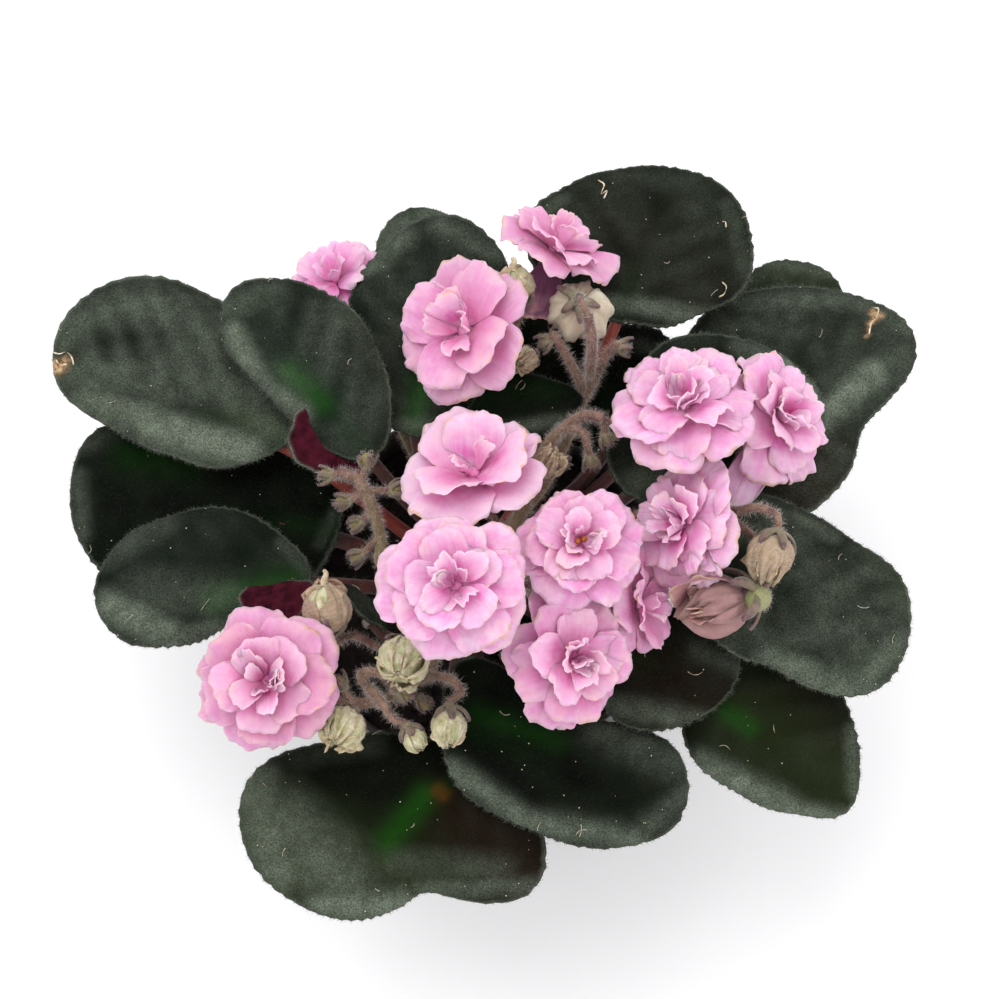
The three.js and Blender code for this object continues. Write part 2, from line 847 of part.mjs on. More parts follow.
// One petal: narrow at its foot, widest two thirds of the way out, cupped, with an uneven rim.
function petal(ring, turn, radius, random) {
  const outward = compass(turn);
  const sideways = compass(turn + 90);
  const tilt = THREE.MathUtils.degToRad(ring.tilt + 6 * (random() - 0.5));
  const lengthwise = outward.clone().multiplyScalar(Math.cos(tilt)).setZ(Math.sin(tilt));
  const upward = outward.clone().multiplyScalar(-Math.sin(tilt)).setZ(Math.cos(tilt));
  const length = ring.length * radius;
  const half = 0.5 * ring.width * radius;
  const ruffle = () => 0.05 * radius * (random() - 0.5);
  const corner = (along, across, lift) =>
    new THREE.Vector3(0, 0, ring.start)
      .addScaledVector(outward, 0.06 * radius)
      .addScaledVector(lengthwise, along * length)
      .addScaledVector(sideways, across * half)
      .addScaledVector(upward, lift);
  const cup = 0.05 * radius;
  const lap = 0.08 * radius; // each petal's left edge lies over the next one's right edge
  const face = [
    corner(0, 0, 0),
    corner(0.6, -1, cup - lap + ruffle()),
    corner(0.6, 0, 0),
    corner(0.6, 1, cup + lap + ruffle()),
    corner(0.93, -0.66, cup - lap + ruffle()),
    corner(1, 0, ruffle()),
    corner(0.93, 0.66, cup + lap + ruffle()),
  ];
  const triangles = [[0, 1, 2], [0, 2, 3], [1, 4, 2], [2, 4, 5], [2, 5, 6], [2, 6, 3]];
  const edge = [0, 1, 4, 5, 6, 3];
  return solidOf(sheet(face, triangles, edge, upward.multiplyScalar(PETAL_THICKNESS)));
}

function facing(mesh, at, direction) {
  mesh.position.set(...at);
  mesh.quaternion.setFromUnitVectors(new THREE.Vector3(0, 0, 1), vector(direction).normalize());
  return mesh;
}

function bloomMesh(bloom, index) {
  const random = randomFrom(100 + index);
  const depth = RECEPTACLE_TOP - RECEPTACLE_FOOT;
  const receptacle = new THREE.CylinderGeometry(RECEPTACLE_RADIUS, 0.6 * RECEPTACLE_RADIUS, depth, 5);
  receptacle.rotateX(Math.PI / 2);
  receptacle.translate(0, 0, RECEPTACLE_TOP - depth / 2);
  const pieces = [solidOf(receptacle)];
  let start = 360 * random();
  for (const ring of FORMS[bloom.form]) {
    for (let i = 0; i < ring.count; i++) {
      pieces.push(petal(ring, start + ((i + 0.2 * random()) * 360) / ring.count, bloom.radius, random));
    }
    start += 180 / ring.count;
  }
  return facing(meshOf(bloom.name, geometryOf(joined(pieces)), bloom.colour), bloom.at, bloom.faces);
}

function budMesh(bud) {
  const ball = new THREE.SphereGeometry(bud.radius, 7, 5);
  ball.rotateX(Math.PI / 2);
  ball.scale(1, 1, 1.1);
  return facing(meshOf(bud.name, ball, "bud"), bud.at, bud.points);
}

// ---------------------------------------------------------------- flower stalks

// The green cup under a bloom or bud: a five-pointed star that narrows to the stalk.
function calyx(middle, direction, size) {
  const points = [];
  for (let i = 0; i < 10; i++) {
    const reach = CALYX_RADIUS * size * (i % 2 ? 0.45 : 1);
    points.push(compass(36 * i).multiplyScalar(reach));
  }
  const foot = points.push(new THREE.Vector3(0, 0, -CALYX_DEPTH * size)) - 1;
  const top = points.push(new THREE.Vector3(0, 0, 0)) - 1;
  const triangles = [];
  for (let i = 0; i < 10; i++) {
    const next = (i + 1) % 10;
    triangles.push([foot, next, i], [top, i, next]);
  }
  const geometry = geometryFrom(points, triangles);
  const turn = new THREE.Quaternion().setFromUnitVectors(new THREE.Vector3(0, 0, 1), direction);
  geometry.applyQuaternion(turn);
  geometry.translate(...middle.toArray());
  return solidOf(geometry);
}

// Where a bloom or bud meets its cup, and the way it points there.
function seatOf(name) {
  const bloom = BLOOMS.find((one) => one.name === name);
  const bud = BUDS.find((one) => one.name === name);
  const direction = vector(bloom ? bloom.faces : bud.points).normalize();
  const depth = bloom ? -RECEPTACLE_FOOT : 1.1 * bud.radius;
  const seat = vector((bloom ?? bud).at).addScaledVector(direction, -depth - GAP);
  return { seat, direction, size: bloom ? 1 : 0.75 };
}

function sideStalk(from, leaving, seat, direction) {
  const length = from.distanceTo(seat);
  const out = from.clone().addScaledVector(leaving, 0.35 * length);
  const back = seat.clone().addScaledVector(direction, -0.45 * length);
  const curve = new THREE.CubicBezierCurve3(from, out, back, seat);
  return solidOf(stem(curve, SIDE_STALK_RADIUS, 4, SIDE_STALK_STEPS));
}

function stalkMesh(stalk) {
  const curves = stalk.stems.map((points) => new THREE.CatmullRomCurve3(points.map(vector)));
  const solids = curves.map((curve, i) => {
    const radius = i ? FLOWER_STALK_RADIUS - 0.25 : FLOWER_STALK_RADIUS;
    return solidOf(stem(curve, radius, FLOWER_STALK_SIDES, stalk.stems[i].length));
  });
  const branch = (stemNumber, share, end, direction) => {
    const curve = curves[stemNumber];
    const start = Math.min(share, 0.97);
    return sideStalk(curve.getPointAt(start), curve.getTangentAt(start), end, direction);
  };
  for (const { name, stem: stemNumber, share } of stalk.carries) {
    const { seat, direction, size } = seatOf(name);
    const inside = seat.clone().addScaledVector(direction, -0.3 * CALYX_DEPTH * size);
    solids.push(branch(stemNumber, share, inside, direction));
    solids.push(calyx(seat, direction, size));
  }
  for (const { at, stem: stemNumber, share } of stalk.young) {
    const end = vector(at);
    const from = curves[stemNumber].getPointAt(Math.min(share, 0.97));
    solids.push(branch(stemNumber, share, end, end.clone().sub(from).normalize()));
    const ball = new THREE.IcosahedronGeometry(YOUNG_BUD_RADIUS);
    ball.translate(...end.toArray());
    solids.push(solidOf(ball));
  }
  return meshOf(stalk.name, geometryOf(joined(solids)), "stalk");
}

// ---------------------------------------------------------------- the whole plant

const africanViolet = new THREE.Group();
africanViolet.name = "potted_african_violet";
africanViolet.add(pot(), soil(), crown());
africanViolet.add(...LEAVES.map(leafMesh));
africanViolet.add(...BLOOMS.map(bloomMesh));
africanViolet.add(...BUDS.map(budMesh));
africanViolet.add(...STALKS.map(stalkMesh));

export default africanViolet;
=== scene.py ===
"""Potted African violet: velvety leaves, double pink blooms, buds and hairy stalks on a crown, in a pot.

Lengths are in millimetres until a mesh is made. The origin is the middle of the pot's base, -Y is the front.
"""

import math

import bpy
import numpy as np
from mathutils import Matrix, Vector


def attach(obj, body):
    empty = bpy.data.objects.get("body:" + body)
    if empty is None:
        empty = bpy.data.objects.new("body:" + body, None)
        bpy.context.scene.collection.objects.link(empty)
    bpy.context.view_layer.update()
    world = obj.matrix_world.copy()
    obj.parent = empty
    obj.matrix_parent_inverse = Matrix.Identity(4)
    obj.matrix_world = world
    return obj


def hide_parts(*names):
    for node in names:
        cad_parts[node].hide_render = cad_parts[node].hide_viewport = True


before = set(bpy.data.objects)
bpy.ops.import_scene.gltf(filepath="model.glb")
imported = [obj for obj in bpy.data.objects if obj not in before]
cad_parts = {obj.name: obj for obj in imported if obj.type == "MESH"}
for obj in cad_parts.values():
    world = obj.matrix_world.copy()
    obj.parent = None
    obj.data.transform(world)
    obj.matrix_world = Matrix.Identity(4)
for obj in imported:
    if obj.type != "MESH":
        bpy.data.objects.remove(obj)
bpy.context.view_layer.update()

MM = 0.001

# ---------------------------------------------------------------- sizes shared with the solids

GAP = 0.3
POT_HEIGHT = 82
POT_BASE_RADIUS = 34
POT_RIM_RADIUS = 48
POT_RIM_BAND = 17
POT_RIM_STEP = 2.2
POT_WALL = 2.4
DRAIN_HOLES = 6
DRAIN_RADIUS = 4
DRAIN_CIRCLE = 22
SOIL_TOP = 73
CROWN_RADIUS = 9
CROWN_FOOT = 56
CROWN_TOP = 98
BASE_LEVEL = 0.9
BASE_WIDTH = 0.5
LEAF_STALK_RADIUS = 1.7
LEAF_STALK_REACH = 0.55
RECEPTACLE_FOOT = -2.2
FLOWER_STALK_RADIUS = 1.4
SIDE_STALK_RADIUS = 0.9
CALYX_DEPTH = 2.6

# The camera, set up as the photograph was taken.
PHOTO_SIZE = [1000, 999]
CAMERA_TILT = math.radians(70)  # above the horizon
CAMERA_DISTANCE = 560
CAMERA_TARGET = [5, 16, 100]
FOCAL = 2240  # in pixels of the photograph
SENSOR = 36

# ---------------------------------------------------------------- the plant's plan

# Each leaf's point on the midrib, [heading, rise, bank], radii every 30 degrees from the tip turning left,
# [dome, fold, wave] and [stalk's compass way at the crown, height].
LEAF_PLANS = [
    ([-77, 38, 110], [161, -2, 0], [33, 18, 13, 12, 14, 22, 31, 34, 31, 32, 38, 40], [4, 1, 0.6], [150, 85]),
    ([-46, 44, 122], [129, 6, -8], [25, 19, 12, 10, 11, 17, 31, 26, 21, 20, 20, 22], [3, 1.5, 0.8], [138, 93]),
    ([-14, 56, 113], [84, 4, 0], [34, 27, 23, 19, 19, 23, 27, 25, 21, 21, 24, 31], [4, 1, 0.5], [123, 88]),
    ([-14, 80, 101], [104, 0, 0], [19, 17, 14, 13, 14, 17, 17, 15, 12, 12, 14, 17], [2, 0.5, 0.4], [98, 80]),
    ([41, 76, 119], [70, 3, 0], [26, 25, 27, 31, 27, 21, 20, 20, 21, 27, 28, 29], [4, 1, 0.6], [62, 92]),
    ([80, 71, 99], [28, 0, 0], [15, 14, 13, 13, 14, 16, 15, 12, 12, 11, 12, 14], [2, 0.5, 0.4], [43, 79]),
    ([80, 47, 107], [19, 0, 0], [33, 30, 27, 27, 29, 30, 28, 32, 38, 30, 21, 24], [4, 1, 1], [34, 85]),
    ([59, 25, 118], [30, -3, 0], [30, 29, 30, 30, 24, 28, 27, 20, 13, 12, 13, 20], [3, 1, 0.5], [17, 91]),
    ([31, 51, 99], [100, 0, 0], [18, 28, 23, 17, 18, 21, 19, 16, 17, 20, 20, 16], [2, 0.5, 0.2], [54, 86]),
    ([9, 31, 120], [18, 2, 0], [17, 13, 12, 12, 11, 12, 16, 13, 9, 8, 9, 11], [2, 1, 0.3], [105, 94]),
    ([-69, 13, 98], [173, 0, 0], [35, 30, 26, 24, 26, 31, 34, 34, 30, 25, 28, 38], [4, 1, 0.6], [166, 80]),
    ([-68, -8, 109], [-179, -4, 0], [27, 24, 18, 14, 13, 20, 27, 23, 21, 20, 21, 24], [4, 1, 0.5], [190, 85]),
    ([75, -14, 115], [-20, -2, 0], [30, 28, 23, 23, 27, 30, 27, 24, 20, 17, 22, 29], [4, 1, 1], [355, 88]),
    ([70, -45, 97], [-42, -3, 0], [25, 23, 22, 23, 23, 24, 23, 21, 18, 15, 15, 18], [2, 1, 0.6], [333, 80]),
    ([45, -31, 108], [-23, -3, 0], [15, 18, 19, 17, 17, 16, 16, 16, 17, 15, 13, 13], [2, 1, 0.4], [330, 88]),
    ([18, -53, 105], [-22, -2, 0], [32, 30, 18, 13, 15, 34, 29, 24, 18, 16, 18, 24], [2.5, 1, 0.5], [257, 89]),
    ([-22, -67, 97], [-142, -3, 0], [27, 22, 18, 18, 37, 36, 30, 25, 25, 28, 37, 34], [4, 1, 0.8], [263, 80]),
    ([-27, -15, 113], [135, 10, 60], [8, 6, 5, 5, 5, 6, 8, 6, 5, 5, 5, 6], [1, 0.5, 0.2], [221, 89]),
]
LEAVES = {f"leaf_{number:02}": plan for number, plan in enumerate(LEAF_PLANS, 1)}

# How pale each leaf's nap looks all over, from dark velvet at 0 to dusty grey at 1. This is partly dust and
# partly painted light: low for the leaves that lie in shade, high for the lit ones.
NAP_SHADES = [0.27, 0.16, 0.12, 0.32, 0.08, 0.24, 0.15, 0.08, 0, 0, 0, 0.04, 0.2, 0.03, 0.02, 0, 0.03, 0.08]
NAP_PALENESS_AND_LIGHT = dict(zip(LEAVES, NAP_SHADES))

# Strokes on each leaf, in pixels of the photograph: from x, y to x, y, half its width in millimetres and its
# strength. A ridge lifts the blade by its strength in millimetres. A pale stroke is painted sheen, where the
# nap catches the light on a ridge or a turned-down edge. A dark stroke takes pale nap away, as painted shade.
LEAF_STROKES = {
    "leaf_01": {
        "pale": [
            (80, 400, 150, 420, 6, 0.5), (150, 425, 250, 452, 5, 0.75), (100, 375, 170, 395, 4, 0.35),
            (75, 320, 130, 290, 5, 0.25), (170, 330, 235, 375, 3, 0.2), (60, 345, 75, 325, 4, 0.3),
        ],
        "olive": [(235, 408, 288, 432, 2.5, 0.7)],
        "dry": [(47, 358, 58, 362, 1.5, 1), (60, 356, 66, 354, 0.8, 0.9)],
        "ridge": [(85, 398, 250, 445, 5, 1.2)],
    },
    "leaf_02": {
        "pale": [
            (230, 330, 262, 385, 3.6, 0.62), (262, 385, 300, 412, 3.2, 0.55), (225, 305, 270, 290, 5, 0.3),
            (335, 300, 380, 360, 4, 0.2),
        ],
        "teal": [(250, 320, 330, 400, 10, 0.5)],
        "green": [(290, 372, 322, 402, 3, 0.75)],
        "dark": [(260, 295, 310, 340, 7, 0.06)],
        "ridge": [(232, 330, 300, 405, 4, 0.8)],
    },
    "leaf_03": {
        "pale": [
            (370, 262, 405, 232, 4, 0.4), (440, 222, 495, 250, 4, 0.35), (360, 330, 372, 400, 3, 0.2),
            (395, 425, 455, 422, 2.5, 0.45),
        ],
        "green": [(424, 380, 414, 420, 3, 0.95)],
        "teal": [(410, 280, 470, 340, 12, 0.3)],
    },
    "leaf_04": {
        "pale": [(380, 240, 430, 212, 5, 0.4)],
        "olive": [(390, 250, 440, 240, 8, 0.4)],
    },
    "leaf_05": {
        "pale": [
            (575, 300, 720, 312, 2.5, 0.55), (728, 200, 748, 270, 3, 0.2), (620, 175, 690, 175, 4, 0.12),
            (530, 225, 560, 195, 3, 0.25),
        ],
        "brown": [(600, 220, 700, 280, 14, 0.25)],
    },
    "leaf_06": {
        "olive": [(765, 270, 835, 285, 8, 0.6)],
        "pale": [(770, 262, 830, 268, 3, 0.35)],
    },
    "leaf_07": {
        "pale": [
            (742, 300, 850, 295, 4, 0.35), (860, 300, 908, 325, 4, 0.35), (812, 425, 875, 370, 4, 0.8),
            (850, 400, 905, 350, 6, 0.3), (720, 320, 800, 330, 5, 0.2),
        ],
        # the brown here is painted shade, under the lower lobe where it turns down
        "brown": [(800, 440, 815, 505, 9, 1), (790, 470, 830, 500, 8, 1), (770, 480, 800, 500, 8, 1)],
        "dry": [
            (874, 308, 882, 312, 0.8, 1), (880, 312, 870, 322, 0.7, 0.9), (870, 322, 867, 338, 0.4, 0.6),
        ],
        "ridge": [(812, 425, 876, 367, 4, 1.3)],
    },
    "leaf_08": {
        "pale": [
            (790, 362, 816, 400, 4, 0.85), (740, 345, 790, 360, 3, 0.35), (640, 480, 690, 470, 5, 0.3),
        ],
    },
    "leaf_09": {
        "pale": [(640, 345, 672, 350, 2, 0.3)],
    },
    "leaf_10": {
        "green": [(470, 400, 550, 385, 4, 0.12)],
        "pale": [(480, 432, 572, 418, 1.8, 0.35)],
    },
    "leaf_11": {
        "pale": [
            (76, 470, 80, 530, 2.2, 0.25), (85, 440, 110, 430, 3, 0.15), (320, 545, 338, 500, 1.2, 0.2),
        ],
        "green": [(130, 450, 190, 460, 5, 0.3)],
    },
    "leaf_12": {
        "pale": [
            (105, 600, 170, 636, 4, 0.7), (170, 636, 240, 625, 3, 0.55), (110, 548, 160, 520, 5, 0.22),
            (140, 590, 220, 600, 7, 0.22), (280, 540, 305, 570, 2, 0.2),
        ],
        "green": [(215, 600, 290, 580, 4, 0.5)],
        "teal": [(150, 560, 260, 540, 10, 0.25)],
    },
    "leaf_13": {
        "pale": [
            (770, 655, 850, 690, 4, 0.55), (860, 685, 905, 635, 4, 0.5), (800, 515, 835, 535, 3, 0.35),
            (780, 640, 880, 620, 5, 0.25), (820, 560, 880, 570, 6, 0.2),
        ],
        "olive": [(885, 560, 905, 600, 3, 0.4)],
        "ridge": [(740, 560, 900, 625, 4, 0.8)],
        "dark": [(836, 540, 850, 562, 4, 0.08)],
    },
    "leaf_14": {
        "olive": [(730, 700, 840, 790, 14, 0.75)],
        "pale": [
            (700, 765, 790, 808, 3.5, 0.7), (800, 812, 845, 818, 2.5, 0.6), (852, 730, 856, 790, 2, 0.4),
        ],
        "green": [(726, 711, 749, 727, 2.5, 0.8)],
        "brown": [(800, 690, 840, 740, 6, 0.3)],
    },
    "leaf_15": {
        "brown": [(620, 660, 710, 700, 14, 0.5)],
        "pale": [(610, 705, 700, 722, 3, 0.3), (700, 650, 740, 665, 3, 0.2)],
    },
    "leaf_16": {
        "green": [(478, 714, 558, 740, 3, 0.35)],
        "pale": [
            (450, 765, 520, 815, 2.5, 0.6), (520, 820, 640, 840, 3, 0.5), (600, 730, 680, 765, 5, 0.22),
            (650, 825, 690, 790, 3, 0.3),
        ],
    },
    "leaf_17": {
        "pale": [
            (252, 780, 275, 870, 6, 0.55), (285, 820, 340, 880, 9, 0.4), (320, 905, 400, 905, 4, 0.7),
            (420, 888, 545, 885, 2.5, 0.35), (300, 757, 370, 745, 4, 0.15), (395, 862, 500, 868, 4, 0.2),
        ],
        "olive": [(245, 800, 300, 890, 8, 0.7), (280, 830, 420, 890, 12, 0.6)],
        "green": [(388, 842, 425, 796, 3.4, 0.7), (425, 796, 441, 790, 2.4, 0.5)],
        "rust": [(438, 790, 443, 795, 1.5, 0.4)],
        "brown": [(470, 820, 540, 860, 12, 0.8)],
        "ridge": [(397, 861, 511, 867, 5, 1.2)],
        "dark": [(320, 780, 400, 800, 14, 0.06)],
    },
    "leaf_18": {
        "brown": [(350, 590, 385, 620, 3, 0.3)],
    },
}

# name: (middle of the face, way it faces, radius, form, colour)
BLOOMS = {
    "bloom_01": ([-37, 74, 104], [-0.2, 0.2, 0.95], 12.5, "loose", "pink"),
    "bloom_02": ([-3, 47, 133], [-0.45, -0.1, 0.88], 18, "loose", "pink"),
    "bloom_03": ([18, 69, 132], [0.42, 0.6, 0.68], 14.5, "loose", "pink"),
    "bloom_04": ([48, 24, 139], [-0.05, 0.36, 0.93], 18, "open", "pink"),
    "bloom_05": ([71, 27, 127], [0.6, -0.05, 0.8], 17, "open", "pink"),
    "bloom_06": ([-1, 9, 135], [-0.2, 0.4, 0.9], 17, "loose", "pink"),
    "bloom_07": ([-5, -22, 148], [-0.05, -0.25, 0.97], 18.5, "open", "pink"),
    "bloom_08": ([23, -10, 141], [0.1, 0, 0.99], 16, "open", "pink"),
    "bloom_09": ([49, -1, 129], [-0.75, -0.1, 0.65], 15, "open", "pink"),
    "bloom_10": ([37, -18, 121], [0.85, -0.2, 0.48], 10, "loose", "pink"),
    "bloom_11": ([21, -33, 129], [0.4, -0.35, 0.85], 16, "open", "pink"),
    "bloom_12": ([-49, -36, 119], [-0.15, -0.3, 0.94], 18.5, "open", "pink"),
    "bloom_13": ([62, -17, 124.5], [-0.92, -0.28, -0.2], 11.5, "closing", "mauve"),
    "bloom_14": ([24, 54, 134], [0, 0.1, -0.99], 9, "wilted", "tan"),
}

# name: (middle of the ball, way its tip points, radius)
BUDS = {
    "bud_01": ([9, 59, 135], [-0.2, 0.5, 0.84], 4.4),
    "bud_02": ([11, 43, 125], [-0.5, -0.6, 0.6], 2.7),
    "bud_03": ([-36, -18, 119], [-0.1, 0.85, 0.45], 5.6),
    "bud_04": ([-18, -32, 121], [-0.1, -0.6, 0.55], 5.6),
    "bud_05": ([-32, -46, 113], [-0.3, -0.8, 0.5], 4.6),
    "bud_06": ([-7, -46, 113], [0, -0.95, -0.2], 4),
    "bud_07": ([68, -9.5, 131], [-0.25, -0.85, -0.45], 5),
    "bud_08": ([30, -17, 131], [0.3, -0.3, 0.9], 3),
    "bud_09": ([16, 15, 128], [0.5, 0.5, 0.7], 3.2),
    "bud_10": ([-15, -48, 110], [0.5, -0.8, -0.35], 2.6),
}

# name: (stems, what they carry, young buds). The first stem leaves the crown, and the others branch off.
# What is carried is (name, stem, share of the stem's length where its side stalk leaves), a young bud is
# (place, stem, share).
STALKS = {
    "stalk_01": (
        [
            [[3.4, 4.6, 99.3], [16, 18, 106], [26, 38, 114.5], [27, 41, 126], [27, 44, 135], [26, 48, 140]],
            [[26, 38, 114.5], [24, 41, 120], [21, 44, 126], [18, 48, 130]],
            [[26, 38, 114.5], [28, 40, 119], [30, 43, 124], [33, 46, 128]],
            [[16, 18, 106], [13, 34, 110], [6, 48, 119]],
        ],
        [("bloom_14", 0, 1), ("bloom_02", 3, 0.9), ("bloom_03", 3, 1), ("bud_01", 3, 1), ("bud_02", 3, 1)],
        [([16, 47, 127], 1, 1), ([35, 46, 126], 2, 1)],
    ),
    "stalk_02": (
        [
            [[5.6, 1.6, 99.3], [11, 12, 108], [16, 23, 117], [20, 26, 122], [25, 28, 126], [30, 27, 127]],
            [[17, 24, 119], [21, 26, 123], [25, 24, 125], [26, 21, 124]],
        ],
        [("bud_09", 0, 0.4)],
        [([31, 23, 123], 0, 1), ([27, 18, 121], 1, 1), ([20, 19, 118], 0, 0.6), ([35, 26, 124], 0, 0.9)],
    ),
    "stalk_03": (
        [
            [[5.4, -2.4, 99.3], [22, -1, 108], [40, 6, 118], [56, 6, 121]],
            [[56, 6, 121], [61, 3, 128], [65, 2, 133], [69, 0, 135]],
        ],
        [
            ("bloom_04", 0, 0.85), ("bloom_05", 0, 1), ("bloom_09", 0, 0.8), ("bloom_13", 0, 0.95),
            ("bud_07", 1, 1),
        ],
        [],
    ),
    "stalk_04": (
        [
            [[1.2, -5.6, 99.3], [6, -12, 110], [12, -14, 122]],
        ],
        [
            ("bloom_06", 0, 1), ("bloom_07", 0, 1), ("bloom_08", 0, 1), ("bloom_11", 0, 0.9),
            ("bloom_10", 0, 0.9), ("bud_08", 0, 0.9),
        ],
        [],
    ),
    "stalk_05": (
        [
            [
                [-5.4, 0.4, 99.3], [-17, -5, 102], [-24, -3, 106], [-24, 2, 111], [-26, 8, 118],
                [-29, 13, 122], [-34, 15, 122],
            ],
        ],
        [],
        [
            ([-37, 15, 120], 0, 1), ([-27, 17, 125], 0, 0.85), ([-20, 12, 118], 0, 0.8),
            ([-33, 9, 118], 0, 0.8), ([-30, 5, 113], 0, 0.7), ([-30, -2, 108], 0, 0.55),
        ],
    ),
    "stalk_06": (
        [
            [[-2.6, -5, 99.3], [-8, -20, 104], [-14, -32, 107], [-24, -38, 108], [-34, -39, 110]],
            [[-14, -32, 107], [-10, -33, 112], [-6, -35, 115], [-4, -38, 116]],
            [[-24, -38, 108], [-26, -36, 112], [-23, -40, 114], [-20, -44, 113]],
            [[-24, -38, 108], [-28, -33, 112], [-24, -33, 115], [-20, -36, 114]],
            [[-8, -20, 104], [-18, -26, 105], [-30, -22, 109]],
        ],
        [
            ("bloom_12", 0, 1), ("bud_03", 4, 1), ("bud_04", 0, 0.45), ("bud_05", 0, 0.9), ("bud_06", 1, 1),
            ("bud_10", 2, 1),
        ],
        [([-18, -38, 112], 3, 1), ([-13, -39, 109], 0, 0.65), ([-33, -35, 113], 0, 0.9)],
    ),
    "stalk_07": (
        [
            [[-5.5, 8.3, 82], [-18, 34, 90], [-32, 62, 94]],
        ],
        [("bloom_01", 0, 1)],
        [],
    ),
}

# ---------------------------------------------------------------- points and ways


def unit(v):
    v = np.asarray(v, float)
    return v / np.maximum(np.linalg.norm(v, axis=-1, keepdims=True), 1e-9)


def compass(degrees):
    angle = np.radians(degrees)
    return np.stack([np.cos(angle), np.sin(angle), np.zeros_like(angle)], -1)


def turned(v, axis, degrees):
    """v turned about an axis."""
    c, s = math.cos(math.radians(degrees)), math.sin(math.radians(degrees))
    return v * c + np.cross(axis, v) * s + (v @ axis) * axis * (1 - c)


def spin(degrees):
    """The matrix that turns about +Z."""
    c, s = math.cos(math.radians(degrees)), math.sin(math.radians(degrees))
    return np.array([[c, -s, 0], [s, c, 0], [0, 0, 1]])


def facing(direction):
    """The matrix that turns +Z to a direction by the shortest way."""
    x, y, z = unit(direction)
    cross = np.array([[0, 0, x], [0, 0, y], [-x, -y, 0]])
    return np.eye(3) + cross + cross @ cross / (1 + z)


CAMERA_AIM = np.array([0, math.cos(CAMERA_TILT), -math.sin(CAMERA_TILT)])
CAMERA_UP = np.array([0, math.sin(CAMERA_TILT), math.cos(CAMERA_TILT)])
CAMERA_PLACE = np.array(CAMERA_TARGET) - CAMERA_AIM * CAMERA_DISTANCE


def seen_on(x, y, place, normal):
    """The point of a plane that the camera sees at a pixel of the photograph."""
    across = np.array([(x - PHOTO_SIZE[0] / 2) / FOCAL, 0, 0])
    ray = across + CAMERA_AIM + CAMERA_UP * (PHOTO_SIZE[1] / 2 - y) / FOCAL
    return CAMERA_PLACE + ray * ((np.array(place) - CAMERA_PLACE) @ normal) / (ray @ normal)


def random_from(seed):
    """Seeded random numbers from 0 to 1, the same ones that the solids' petals use."""
    factor, step, span = 1664525, 1013904223, 2**32
    while True:
        seed = (seed * factor + step) % span
        yield seed / span


def ramp(value, start, width):
    """From 0 at the start to 1 a width further on."""
    return np.clip((value - start) / width, 0, 1)


def between(a, b, c, d, t):
    """The smooth curve from b, at t = 0, to c, at t = 1, with a before them and d after them."""
    return b + 0.5 * t * (c - a + t * (2 * a - 5 * b + 4 * c - d + t * (3 * (b - c) + d - a)))


def bezier(a, b, c, d, count):
    t = np.linspace(0, 1, count)[:, None]
    return (1 - t) ** 3 * a + 3 * (1 - t) ** 2 * t * b + 3 * (1 - t) * t**2 * c + t**3 * d


def run_along(points):
    """How far each point is along the line through all of them."""
    return np.concatenate([[0], np.cumsum(np.linalg.norm(np.diff(points, axis=0), axis=1))])


def smooth_path(points, count):
    """A smooth curve through the points, in even steps."""
    p = np.asarray(points, float)
    p = np.vstack([2 * p[0] - p[1], p, 2 * p[-1] - p[-2]])
    t = np.linspace(0, 1, 24, endpoint=False)[:, None]
    fine = np.vstack([between(*four, t) for four in zip(p, p[1:], p[2:], p[3:])] + [p[-2:-1]])
    run = run_along(fine)
    even = np.linspace(0, run[-1], count)
    return np.stack([np.interp(even, run, fine[:, k]) for k in range(3)], 1)


def waves_along(x, y, way, length, start):
    """Straight waves of a length that run in a way over a surface."""
    return np.sin((x * np.cos(way) + y * np.sin(way)) * 2 * np.pi / length + start)


# ---------------------------------------------------------------- shapes
#
# A shape is a dict: "points" (n, 3), "marks" {name: (n,)} painted on them, and "groups" of faces. Each group
# is (faces, chart, finish): faces (m, 3 or 4), their places on the flat chart (m, 3 or 4, 2) and the number
# of their finish.


def fused(shapes):
    """One shape of several, each with its own cell of the chart."""
    side = math.ceil(math.sqrt(len(shapes)))
    marks = {name: [] for name in sorted({name for s in shapes for name in s["marks"]})}
    groups, count = [], 0
    for i, s in enumerate(shapes):
        corner = np.array([i % side, i // side]) / side
        for faces, chart, finish in s["groups"]:
            groups.append((faces + count, corner + (0.02 + 0.96 * chart) / side, finish))
        for name in marks:
            marks[name].append(np.broadcast_to(s["marks"].get(name, 0.0), len(s["points"])))
        count += len(s["points"])
    marks = {name: np.concatenate(values) for name, values in marks.items()}
    return {"points": np.vstack([s["points"] for s in shapes]), "groups": groups, "marks": marks}


def moved(shape, place, matrix=None):
    """The shape turned by the matrix and then moved."""
    if matrix is not None:
        shape["points"] = shape["points"] @ matrix.T
    shape["points"] = shape["points"] + np.asarray(place, float)
    return shape


def grid_quads(rows, columns, closed):
    index = np.arange(rows * columns).reshape(rows, columns)
    if closed:
        index = np.hstack([index, index[:, :1]])
    return np.stack([index[:-1, :-1], index[1:, :-1], index[1:, 1:], index[:-1, 1:]], -1).reshape(-1, 4)


